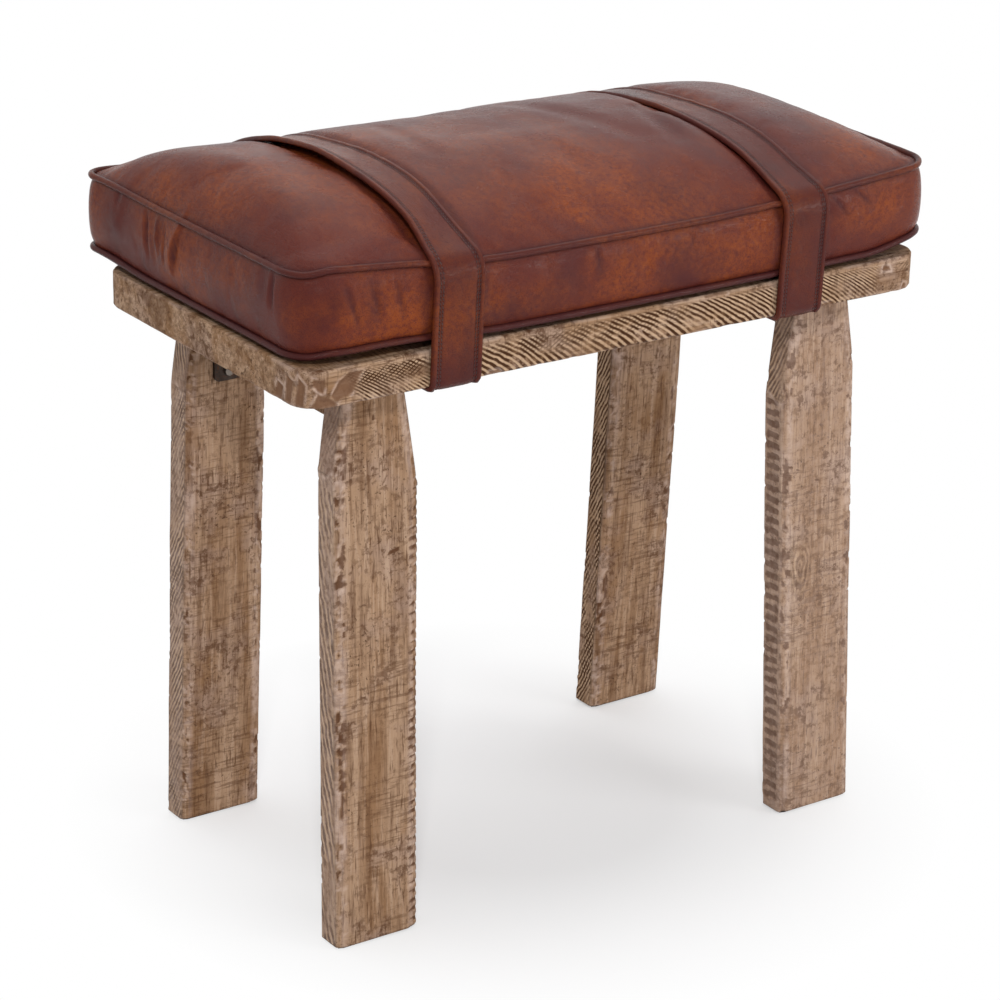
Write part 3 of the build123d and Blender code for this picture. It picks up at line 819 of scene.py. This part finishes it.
def weathered_wood(name, grain, wander=None):
    """Limed old wood: brown in its pores and gouges, pale where raised. Its grain runs along an axis, and its saw
    marks, if any, wander by an angle."""
    finish = Finish(name)

    def strands(across, along, detail, roughness, distortion=0.0):
        """Noise drawn out along the grain, with a scale across it and along it."""
        scales = [across, across, across]
        scales[grain] = along
        return finish.noise(1.0, detail, roughness, finish.stretch(scales), distortion)

    fibre, pore = strands(260, 9, 5, 0.62, 0.35), strands(900, 55, 3, 0.6)
    band, scratch = strands(48, 5, 4, 0.55, 0.8), strands(38, 430, 4, 0.6, 0.3)
    blotch, speck = finish.noise(26, 6, 0.62), finish.noise(190, 5, 0.66)
    dots = finish.ramp(finish.noise(430, 3, 0.6), 0.60, 0.66)
    dots = finish.times(dots, finish.times(finish.patches(20, 4, (2, 6, 4), 0.42, 0.6), 0.85))
    worn = finish.times(finish.ramp(speck, 0.52, 0.60), finish.ramp(blotch, 0.4, 0.58, 0.25, 1))
    scored = finish.times(finish.ramp(scratch, 0.52, 0.60), finish.patches(13, 5, (5, 2, 9), 0.42, 0.56))
    colour = finish.coated(
        (0.252, 0.140, 0.072),
        (finish.ramp(band, 0.38, 0.62), (0.375, 0.243, 0.154)),
        (finish.ramp(blotch, 0.48, 0.64, 0, 0.7), (0.322, 0.220, 0.168)),
        (finish.ramp(fibre, 0.50, 0.68, 0, 0.62), BROWN),
        (finish.ramp(fibre, 0.46, 0.34, 0, 0.45), (0.520, 0.370, 0.265)),
        (finish.times(worn, 0.72), BROWN),
        (finish.times(scored, 0.52), BROWN),
        (finish.ramp(pore, 0.56, 0.67, 0, 0.75), BROWN),
        (dots, (0.055, 0.024, 0.013)))
    height = finish.minus(finish.times(fibre, 0.5), finish.times(scored, 0.4))
    height = finish.minus(height, finish.times(worn, 0.35))
    height = finish.minus(height, finish.ramp(pore, 0.56, 0.7, 0, 0.4))
    if wander:
        colour, height = saw_marked(finish, colour, height, speck, wander)
    finish.set(Base_Color=colour, Roughness=finish.ramp(speck, 0.3, 0.7, 0.62, 0.8), Specular_IOR_Level=0.06,
               Normal=finish.bump(height, 0.0005, 0.8))
    return finish.material


def saw_marked(finish, colour, height, speck, wander):
    """Saw marks with pale crests, finer ones across them, stains, bare cuts and rubbed ridges, each where a point
    mark says so."""
    wobble = finish.ramp(finish.noise(60, 4, 0.6), 0.3, 0.7, -wander, wander)
    wave, finer = (finish.math("SINE", finish.plus(finish.mark(phase), wobble))
                   for phase in ("kerf_phase", "cross_phase"))
    kerf, broken = finish.mark("kerf"), finish.patches(85, 4, (1, 8, 3), 0.36, 0.50)
    crest = finish.times(finish.ramp(wave, 0.1, -0.8), kerf)
    crossed = finish.times(finish.ramp(finer, 0.3, 0.8), finish.times(finish.mark("cross"), broken))
    cut = finish.times(finish.ramp(wave, -0.05, 0.45), finish.times(kerf, broken))
    cut = finish.most(cut, finish.times(crossed, 0.8))
    stain = finish.plus(finish.mark("stain"), finish.ramp(speck, 0.3, 0.7, -0.34, 0.34))
    stain = finish.times(finish.ramp(stain, 0.25, 0.62), finish.ramp(finish.mark("stain"), 0.05, 0.6))
    ridge = finish.times(finish.mark("ridge"), finish.ramp(speck, 0.35, 0.6, 0.9, 0.45), clamp=True)
    colour = finish.coated(
        colour,
        (finish.times(crest, 0.62), (0.580, 0.405, 0.262)),
        (finish.times(cut, 1.25, clamp=True), (0.055, 0.022, 0.009)),
        (finish.times(stain, 0.9, clamp=True), (0.085, 0.035, 0.016)),
        (finish.times(finish.mark("bare"), 0.92, clamp=True), (0.158, 0.080, 0.045)),
        (ridge, (0.575, 0.435, 0.365)))
    return colour, finish.minus(height, finish.times(cut, 1.2))


leg_wood = weathered_wood("leg_wood", 2, 2.2)
board_wood = weathered_wood("board_wood", 0, 1.3)
batten_wood = weathered_wood("batten_wood", 1)


def leg_section(z, lean):
    """The eight corners of the right back leg's outline at heights."""
    drift = lean * (BOARD_UNDERSIDE - z) / BOARD_UNDERSIDE

    def cut(width, height):
        return width * (np.clip(z - (BOARD_UNDERSIDE - height), 0, None) / height) ** 1.15

    outer = LEG_OUTER + drift - cut(*OUTER_SHOULDER)
    inner = LEG_INNER + drift + cut(*INNER_SHOULDER)
    middle = LEG_TOP_Y + LEG_SPLAY * (BOARD_UNDERSIDE - z)
    far, near = middle + LEG_THICKNESS / 2, middle - LEG_THICKNESS / 2
    corners = [(inner + LEG_EDGE_WIDTH, near), (outer - LEG_EDGE_WIDTH, near), (outer, near + LEG_EDGE_DEPTH),
               (outer, far - LEG_EDGE_DEPTH), (outer - LEG_EDGE_WIDTH, far), (inner + LEG_EDGE_WIDTH, far),
               (inner, far - LEG_EDGE_DEPTH), (inner, near + LEG_EDGE_DEPTH)]
    return np.array([np.stack([x, y], -1) for x, y in corners])


# Cells across the faces of a leg, once round from its inward broad face. The odd ones are its cut edges
LEG_CELLS = (15, 4, 12, 4, 15, 4, 12, 4)

OUTER_FACE, BROAD_FACE, INNER_FACE = 2, 4, 6
LEG_ROWS = 250
KNOT_X, KNOT_Z = 162, 190

# Dents in the front faces of the front legs: leg, X, Z, half length, half height and slant
DENTS = [
    ("front_left", -177.5, 273.2, 4.4, 1.3, 0.35), ("front_left", -190.5, 366.0, 1.3, 2.0, 0.0),
    ("front_right", 156.0, 362.0, 2.2, 1.6, 0.1), ("front_right", 139.0, 317.0, 1.6, 3.0, 0.0),
    ("front_right", 178.0, 292.0, 1.6, 1.4, 0.0),
    ("front_right", 176.0, 252.0, 2.4, 1.2, 0.4), ("front_right", 158.0, 262.0, 1.4, 1.0, 0.0),
]


def leg_surface(lean):
    """The skin of the right back leg: points, the way out at each, the face it is on, and its share across it."""
    heights = np.linspace(LEG_FOOT, BOARD_UNDERSIDE, LEG_ROWS)
    corners = leg_section(heights, lean)
    places, outs, faces, shares = [], [], [], []
    for face, cells in enumerate(LEG_CELLS):
        side = corners[(face + 1) % 8] - corners[face]
        out = np.stack([side[:, 1], -side[:, 0]], -1) / np.linalg.norm(side, axis=1)[:, None]
        for cell in range(cells):
            places.append(corners[face] + side * (cell / cells))
            outs.append(out)
            faces.append(face)
            shares.append(cell / cells)
    places, outs = np.stack(places, 1), np.stack(outs, 1)
    outs = outs + np.roll(outs, 1, 1) * (np.array(shares) == 0)[:, None]
    outs /= np.linalg.norm(outs, axis=2)[..., None]
    level = np.repeat(heights[:, None], len(faces), 1)
    return (np.dstack([places, level]).reshape(-1, 3), np.dstack([outs, 0 * level]).reshape(-1, 3),
            np.tile(faces, LEG_ROWS), np.tile(shares, LEG_ROWS))


class Leg:
    """A leg's skin, worked out as for the right back leg, with its marks added one after another."""

    def __init__(self, row, side, seed):
        self.row, self.name, self.seed = row, f"{row}_{side}", seed
        self.is_front_right = self.name == "front_right"
        self.sides = np.array([-1 if side == "left" else 1, -1 if row == "front" else 1, 1])
        self.spot, self.out, self.face, self.share = leg_surface(LEG_LEANS[self.name])
        self.local, self.z = self.spot * self.sides, self.spot[:, 2]
        self.x = self.local[:, 0] + SHIFT_X
        self.inner, self.outer, self.corner = self.face == INNER_FACE, self.face == OUTER_FACE, self.share == 0
        self.move = 0.30 * self.lumps((22, 22, 70)) + 0.14 * self.lumps((7, 7, 16), 1) - 0.4 * self.corner
        self.stain = np.zeros(len(self.z))
        self.ridge = 0.35 * self.corner * (0.5 + 0.5 * self.lumps((9, 9, 13), 2))

    def lumps(self, size, seed=0):
        return lumps(self.local, size, self.seed + seed)

    def lumps_by_height(self, size, seed):
        return lumps(self.local * (0, 0, 1), (1, 1, size), seed)

    def cut(self, where, depth, stain):
        self.move -= depth * where
        self.stain = np.maximum(self.stain, stain * where)

    def rub(self, where):
        self.ridge = np.maximum(self.ridge, where)

    def chip_edges(self):
        """Chips and pale rubbed wood along the cut edges. The front legs have their own on the inner front edge."""
        for edge in (1, 3, 5, 7):
            wide = (self.face == edge) | ((self.face == (edge + 1) % 8) & self.corner)
            chips = self.lumps((4, 4, 7), edge) + 0.6 * self.lumps((2.2, 2.2, 3), 20 + edge)
            chips = chips + 0.55 * self.lumps_by_height(38, self.seed + 40 + edge) - 0.2
            if self.is_front_right and edge == 5:
                chips = 1.15 * chips + 0.22
            if self.name == "front_left" and edge == 5:
                notches = np.sin(2 * pi * self.z / 6.6 + 2 * self.lumps_by_height(40, 9))
                chips = 0.6 * chips + 0.75 * notches * (self.z < 322)
            self.cut(smooth_step(chips, 0.22, 0.62) * wide, 0.9, 0.85)
            worn = smooth_step(self.lumps_by_height(26, self.seed + 60 + edge), 0.1, 0.6) * (chips < 0.1)
            self.rub(0.7 * np.clip(bell(chips - 0.02, 0.17) + worn, 0, 1) * wide)
        line = ((self.face == 5) & (self.share < 0.3)) | ((self.face == 3) & (self.share > 0.7))
        line = line * (0.45 + 0.25 * self.is_front_right) * (1 - self.stain)
        self.rub(line * np.clip(1 + 0.8 * self.lumps((5, 5, 14), 8), 0, 1))

    def notch(self):
        """A ladder of dark notches across the inner narrow face, under its shoulder."""
        rung = 8.1
        tilted = self.z + 0.10 * (self.share - 0.5) * 19 + 1.2 * self.lumps((30, 30, 40), 4)
        bar = 0.29 - np.abs(tilted % rung / rung - 0.5) + 0.05 * self.lumps((6, 6, 5), 5)
        bar = smooth_step(bar, -0.05, 0.06) * smooth_step(self.share, 0.10, 0.24)
        bar *= (1 - smooth_step(self.share, 0.84, 0.96)) * self.inner
        bar *= smooth_step(self.z, 6, 12) * (1 - smooth_step(self.z, 311, 315))
        self.cut(bar, 0.7, 0.95)
        self.rub(0.5 * self.inner * (1 - bar) * (self.z < 315))

    def dent(self):
        for leg, middle_x, middle_z, reach_x, reach_z, slant in DENTS:
            if leg == self.name:
                off_x, off_z = self.x - middle_x, self.z - middle_z
                ahead, up = off_x * cos(slant) + off_z * sin(slant), off_z * cos(slant) - off_x * sin(slant)
                reach = np.maximum(np.abs(ahead) / reach_x, np.abs(up) / reach_z)
                self.cut(smooth_step(1.25 - reach, 0, 0.5) * (self.face == BROAD_FACE), 0.7, 0.95)

    def saw(self):
        """Saw marks on the narrow faces, which slant the other way on the shoulders, and the shoulders' bare wood."""
        kerf = (self.inner | self.outer) * np.clip(0.65 + 0.9 * self.lumps((8, 8, 26), 6), 0, 1)
        self.rub(0.4 * self.outer + 0.28 * self.is_front_right)
        if self.is_front_right:
            kerf = kerf * np.where(self.inner, smooth_step(self.z, 311, 318), 1)
        above = self.z > BOARD_UNDERSIDE - np.where(self.inner, INNER_SHOULDER[1], OUTER_SHOULDER[1])
        slant = np.where(above, -1, 1) * np.where(self.inner, -1, 1)
        bare = 0.75 * self.outer * above * smooth_step(self.lumps((14, 14, 22), 9), -0.6, 0.1)
        kerf = kerf * (1 - 0.5 * bare)
        low_fall, low_pitch = (66, 18.0) if self.row == "front" else (36, 6.5)
        fall, pitch = np.where(above, 40, low_fall), np.where(above, 7.5, low_pitch)
        return {"kerf": kerf, "kerf_phase": 2 * pi * (self.z + fall * slant * self.share) / pitch,
                "cross": kerf * (self.row == "back") * smooth_step(self.lumps((20, 20, 34), 7), -0.3, 0.3),
                "cross_phase": 2 * pi * (self.z - 30 * slant * self.share) / 5.6,
                "bare": np.maximum(bare, 0.1 if self.is_front_right else 0.14)}

    def knot(self, marks):
        """Rings of a knot in the front face."""
        apart = np.hypot(self.x - KNOT_X, (self.z - KNOT_Z) / 2.6) + 1.6 * lumps(self.local, (5, 5, 10), 12)
        apart = np.where(self.face == BROAD_FACE, apart, 99)
        marks["kerf"] = np.maximum(marks["kerf"], 0.36 * bell(apart - 4, 6))
        marks["kerf_phase"] = np.where(self.face == BROAD_FACE, 2 * pi * apart / 2.9, marks["kerf_phase"])
        self.cut(bell(apart, 2.6), 0, 0.7)

    def mark_shoulders(self):
        """A raised, pale line where each shoulder's cut starts, and darker wood over it."""
        for (_, height), narrow in ((INNER_SHOULDER, self.inner), (OUTER_SHOULDER, self.outer)):
            start = BOARD_UNDERSIDE - height
            line = self.z - start + 3 * np.sin(self.share * 5 + self.seed)
            self.move += narrow * 0.5 * bell(line, 2.5)
            self.rub(narrow * 0.9 * bell(line, 1.8))
            darker = smooth_step(self.z, start + 4, start + 9) * (0.6 + 0.5 * self.lumps(12))
            self.cut(narrow * darker, 0, 0.35)


def make_leg(row, side, seed):
    leg = Leg(row, side, seed)
    leg.chip_edges()
    if leg.is_front_right:
        leg.notch()
    leg.dent()
    marks = leg.saw()
    if leg.is_front_right:
        leg.knot(marks)
    leg.mark_shoulders()
    leg.cut(bell(leg.z - LEG_FOOT, 2.0), 0, 0.35)
    points = (leg.spot + leg.out * np.minimum(leg.move, 0.25)[:, None]) * leg.sides + (SHIFT_X, SHIFT_Y, 0)
    marks.update(stain=np.clip(leg.stain, 0, 1), ridge=np.clip(leg.ridge, 0, 1))
    piece = add_piece(f"wood_leg_{leg.name}", points, tube_faces(LEG_ROWS, sum(LEG_CELLS)), leg_wood, marks)
    settle(piece, "old_wood", f"leg_{leg.name}")


for number, (row, side) in enumerate((row, side) for row in ("front", "back") for side in ("left", "right")):
    make_leg(row, side, 50 + 7 * number)

# Board: flat cuts of a hand tool, mostly at its front left corner, as outlines of run along the side and height
CUTS = [
    ([(-250, 404), (-246, 399.5), (-242, 397.5), (-240.6, 407.2), (-249, 408)], 1.9),
    ([(-252, 387.5), (-231, 387.5), (-234.5, 393.2), (-246, 398.4)], 2.6),
    ([(-237.3, 395.6), (-232.5, 391.5), (-222, 394.5), (-213.5, 409.2), (-224.4, 409.6), (-231.5, 404.6)], 2.6),
    ([(-262, 388.5), (-255, 388.5), (-253.5, 403), (-259, 409)], 1.2),
    ([(-272, 390), (-265, 388), (-262.5, 405), (-270, 408)], 1.0),
    ([(-286, 387.5), (-276, 387.5), (-273, 399), (-281, 401)], 0.9),
    ([(224, 387.5), (231, 387.5), (230, 393), (226, 394)], 0.9),
    ([(206, 405), (214, 404), (213, 408), (207, 409)], 0.7),
    ([(-122, 387.5), (-108, 387.5), (-112, 391.5), (-119, 391)], 0.8),
    ([(52, 413.5), (52, 410.5), (72, 411), (72, 413.5)], 0.7),
    ([(150, 387.5), (168, 387.5), (164, 391), (154, 390.5)], 0.8),
]


def inside_of(outline, run, height):
    """Distance inside a convex outline, negative outside it."""
    outline = np.array(outline, float)
    after = np.roll(outline, -1, 0)
    turn = np.sign(np.sum(outline[:, 0] * after[:, 1] - outline[:, 1] * after[:, 0]))
    inside = np.full(len(run), np.inf)
    for (x0, z0), (x1, z1) in zip(outline, after):
        along = hypot(x1 - x0, z1 - z0)
        inside = np.minimum(inside, turn * ((x1 - x0) * (height - z0) - (z1 - z0) * (run - x0)) / along)
    return inside


BOARD_CELLS = (600, 260)
BOARD_SIDE_ROWS = 24
BOARD_INSETS = (46, 30, 18, 10, 5, 2.2)
SAW_LEVEL = 400


def board_surface():
    """The board's skin, in rows from its top to its underside: the outline, points, the way out, and rows' insets."""
    half = np.array([BOARD_LENGTH, BOARD_DEPTH]) / 2
    radii = BOARD_CORNER, BOARD_CORNER
    long_share, short_share = (np.linspace(0, 1, cells + 1)[:-1] for cells in BOARD_CELLS)
    front = half_side(*half, *radii, long_share)
    right = half_side(*half[::-1], *radii, short_share)[:, ::-1] * (-1, 1)
    ring = np.concatenate([front, right, -front, -right])
    outward = outward_of(ring)
    profile = [(inset, BOARD_TOP) for inset in BOARD_INSETS] + [(0.9, BOARD_TOP - 0.3)]
    profile += [(0, z) for z in np.linspace(BOARD_TOP - BOARD_EDGE, BOARD_UNDERSIDE + BOARD_EDGE, BOARD_SIDE_ROWS)]
    profile += [(0.9, BOARD_UNDERSIDE + 0.3)] + [(inset, BOARD_UNDERSIDE) for inset in BOARD_INSETS[::-1]]
    insets, z = np.array(profile, float).T
    inset = insets[:, None, None]
    place = np.where(inset < 0.6 * BOARD_CORNER, ring - outward * inset, ring * (1 - inset / half))
    spot = np.dstack([place, np.repeat(z[:, None], len(ring), 1)]).reshape(-1, 3)
    out = np.tile(np.column_stack([outward, np.zeros(len(ring))]), (len(profile), 1))
    return ring, spot, out, insets


def run_round(ring):
    """How far round the board's side each point of its outline is, equal to X along the front."""
    step = np.linalg.norm(np.roll(ring, -1, 0) - ring, axis=1)
    run = np.concatenate([[0], np.cumsum(step)[:-1]])
    run = np.where(run > step.sum() / 2, run - step.sum(), run)
    return run - BOARD_LENGTH / 2 + BOARD_CORNER + SHIFT_X - BOARD_CORNER * pi / 4


def board_saw_marks(spot, out, on_side):
    """Slanted saw marks on the board's front, finer ones across them in places, and plain ones on its back."""
    x, up = spot[:, 0] + SHIFT_X, spot[:, 2] - SAW_LEVEL
    shown = smooth_step(-out[:, 1], 0.75, 0.95) * smooth_step(x + 0.6 * up, -226, -216)
    shown = shown * (1 - smooth_step(up, 7.5 + 1.5 * lumps(spot, (40, 40, 40), 75), 10.5))
    kerf = shown * (1 - smooth_step(x, 198, 206)) * np.clip(0.9 + 1.1 * lumps(spot, (20, 20, 13), 76), 0, 1)
    back = smooth_step(out[:, 1], 0.75, 0.95) * (0.6 + 0.4 * lumps(spot, (50, 50, 60), 78))
    # Their pitch is wider in the middle of the front
    ruler = np.linspace(-320, 320, 1281)
    pitch = np.interp(ruler, (-168, -160, 40, 200), (3.7, 6.2, 6.2, 3.7))
    turns = np.concatenate([[0], np.cumsum(np.diff(ruler) / pitch[1:])])
    slanted = x + np.where(x < -164, 1.7, 1.6) * up + 0.02 * up ** 2
    slanted = slanted + 3.5 * lumps(spot, (50, 50, 200), 77) + 1.1 * lumps(spot, (12, 12, 60), 83)
    left_end = smooth_step(up, -4, 2) * (1 - smooth_step(x, -176, -164))
    elsewhere = 0.6 * smooth_step(lumps(spot, (46, 46, 18), 81) + 0.06 * (up - 3), 0.1, 0.5)
    return {"kerf": np.clip(np.maximum(kerf, back) * on_side, 0, 1),
            "kerf_phase": 2 * pi * np.interp(slanted, ruler, turns),
            "cross": np.clip(shown * np.maximum(left_end, elsewhere) * on_side, 0, 1),
            "cross_phase": 2 * pi * (x - 1.5 * up) / 4.4}


def make_board():
    ring, spot, out, insets = board_surface()
    rows, columns = len(insets), len(ring)
    z = spot[:, 2]
    on_side = np.repeat(smooth_step(-insets, -5, -0.5), columns)
    edge_gap = np.minimum(BOARD_TOP - z, z - BOARD_UNDERSIDE)
    nicks = smooth_step(lumps(spot, (9, 9, 30), 73), 0.25, 0.8) * bell(edge_gap, 2.6)
    move = 0.35 * lumps(spot, (60, 60, 30), 71) + 0.12 * lumps(spot, (9, 9, 5), 72) - 0.3 - 0.9 * nicks
    ridge = 0.5 * bell(edge_gap - 0.5, 1.0) * on_side * smooth_step(lumps(spot, (14, 14, 20), 74), -0.3, 0.5)
    bare = np.zeros(len(spot))
    run = np.tile(run_round(ring), rows) + 0.5 * lumps(spot, (4, 4, 3), 80)
    for outline, depth in CUTS:
        inside = inside_of(outline, run, z) * on_side - (1 - on_side) * 9
        move -= np.minimum(0.6 * np.clip(inside, 0, None), depth)
        bare = np.maximum(bare, 0.95 * smooth_step(inside, -0.2, 1.0))
        rim = bell(inside + 0.5, 0.8) * smooth_step(lumps(spot, (7, 7, 6), 82), -0.5, 0.4)
        ridge = np.maximum(ridge, 0.75 * rim)
    points = spot + out * (np.minimum(move, 0.1) * on_side)[:, None]
    dip = (0.25 * lumps(spot, (80, 34, 10), 79) - 0.25) * np.repeat(insets < 30, columns)
    points[:, 2] += np.where(z >= BOARD_TOP - 0.05, dip, 0)
    points[:, :2] += (SHIFT_X, SHIFT_Y)
    marks = {"stain": np.clip(0.75 * nicks * on_side, 0, 1), "ridge": np.clip(ridge, 0, 1), "bare": bare,
             **board_saw_marks(spot, out, on_side)}
    piece = add_piece("wood_board", points, tube_faces(rows, columns), board_wood, marks)
    settle(piece, "old_wood", "seat_board")


make_board()


# Small parts that keep their solids, and the screws

def metal(name, colour, rough, rust):
    """Dull metal with darker worn patches and rust in spots."""
    finish = Finish(name)
    worn = finish.noise(220, 5, 0.62)
    rusted = finish.ramp(finish.noise(420, 4, 0.6), 0.55, 0.68, 0, rust)
    colour = finish.coated(colour, (finish.ramp(worn, 0.35, 0.7, 0, 0.6), [0.45 * part for part in colour]),
                           (rusted, (0.110, 0.042, 0.018)))
    finish.set(Base_Color=colour, Metallic=1.0, Roughness=finish.ramp(worn, 0.3, 0.7, rough - 0.08, rough + 0.14),
               Normal=finish.bump(worn, 0.00015, 0.6))
    return finish.material


bracket_metal = metal("bracket_metal", (0.060, 0.044, 0.036), 0.5, 0.7)
screw_metal = metal("screw_metal", (0.20, 0.17, 0.145), 0.42, 0.5)
brass_metal = metal("brass_metal", (0.48, 0.33, 0.13), 0.34, 0.2)
rubber = Finish("pad_rubber")
rubber.set(Base_Color=rubber.mix(rubber.noise(300, 3, 0.6), (0.012, 0.011, 0.010), (0.035, 0.032, 0.030)),
           Roughness=0.8, Normal=rubber.bump(rubber.noise(900, 3, 0.6), 0.0002))

# The first match counts
NODE_MATERIALS = {"foot_pad": rubber.material, "bracket_screws": screw_metal, "bracket": bracket_metal,
                  "seat_screws": screw_metal, "batten_screws": screw_metal, "strap_screws": brass_metal,
                  "batten_": batten_wood}
for node_name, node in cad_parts.items():
    for start, material in NODE_MATERIALS.items():
        if node_name.startswith(start):
            node.data.materials.clear()
            node.data.materials.append(material)
            break


# Floor, backdrop and light

FLOOR_REACH = 6000
WORLD_LIGHT = 0.55


def make_floor():
    """A white floor that keeps the object's shadow. Seen by the camera, it glows more the further out it is."""
    corners = np.array([(-1, -1, 0), (1, -1, 0), (1, 1, 0), (-1, 1, 0)]) * FLOOR_REACH
    floor = add_piece("floor", corners, [[0, 1, 2, 3]], None, smooth=False)
    finish = Finish("floor_white")
    finish.set(Base_Color=(0.86, 0.86, 0.87, 1), Roughness=0.9, Specular_IOR_Level=0.0)
    glow = finish.add("ShaderNodeEmission", {"Color": (1, 1, 1, 1), "Strength": 1.0})
    path = finish.add("ShaderNodeLightPath").outputs["Is Camera Ray"]
    far = finish.add("ShaderNodeVectorMath", {0: finish.place}, operation="LENGTH").outputs["Value"]
    share = finish.times(path, finish.ramp(far, 0.12, 0.32, 0.15, 1.0), clamp=True)
    blend = finish.add("ShaderNodeMixShader", {0: share, 1: finish.shader.outputs[0], 2: glow.outputs[0]})
    finish.feed(finish.tree.nodes["Material Output"], {"Surface": blend.outputs[0]})
    floor.data.materials.append(finish.material)


def make_lamp(name, place, aim, size, power):
    data = bpy.data.lights.new(name, "AREA")
    data.shape = "RECTANGLE"
    data.size, data.size_y = size
    data.energy = power
    light = bpy.data.objects.new(name, data)
    bpy.context.collection.objects.link(light)
    light.location = place
    light.rotation_euler = (Vector(aim) - Vector(place)).to_track_quat("-Z", "Y").to_euler()


def make_world():
    """A white world, dimmer for the light it casts than for the camera, gloss and glass that see it."""
    world = bpy.data.worlds.new("studio")
    world.use_nodes = True
    bpy.context.scene.world = world
    nodes = Nodes(world.node_tree)
    path = nodes.add("ShaderNodeLightPath").outputs
    seen = nodes.most(path["Is Camera Ray"], nodes.most(path["Is Glossy Ray"], path["Is Transmission Ray"]))
    nodes.feed(world.node_tree.nodes["Background"],
               {"Color": (1, 1, 1, 1), "Strength": nodes.ramp(seen, 0, 1, WORLD_LIGHT, 1.0)})


make_floor()
make_lamp("key", (-1.7, -2.4, 2.6), (0, 0, 0.35), (0.35, 0.35), 52)
make_lamp("top", (0.2, 0.6, 2.6), (0, 0, 0.4), (2.2, 1.6), 28)
make_lamp("strip", (1.85, -2.6, 0.95), (0, 0, 0.42), (1.5, 0.16), 36)
make_world()
bpy.context.scene.view_settings.view_transform = "Standard"
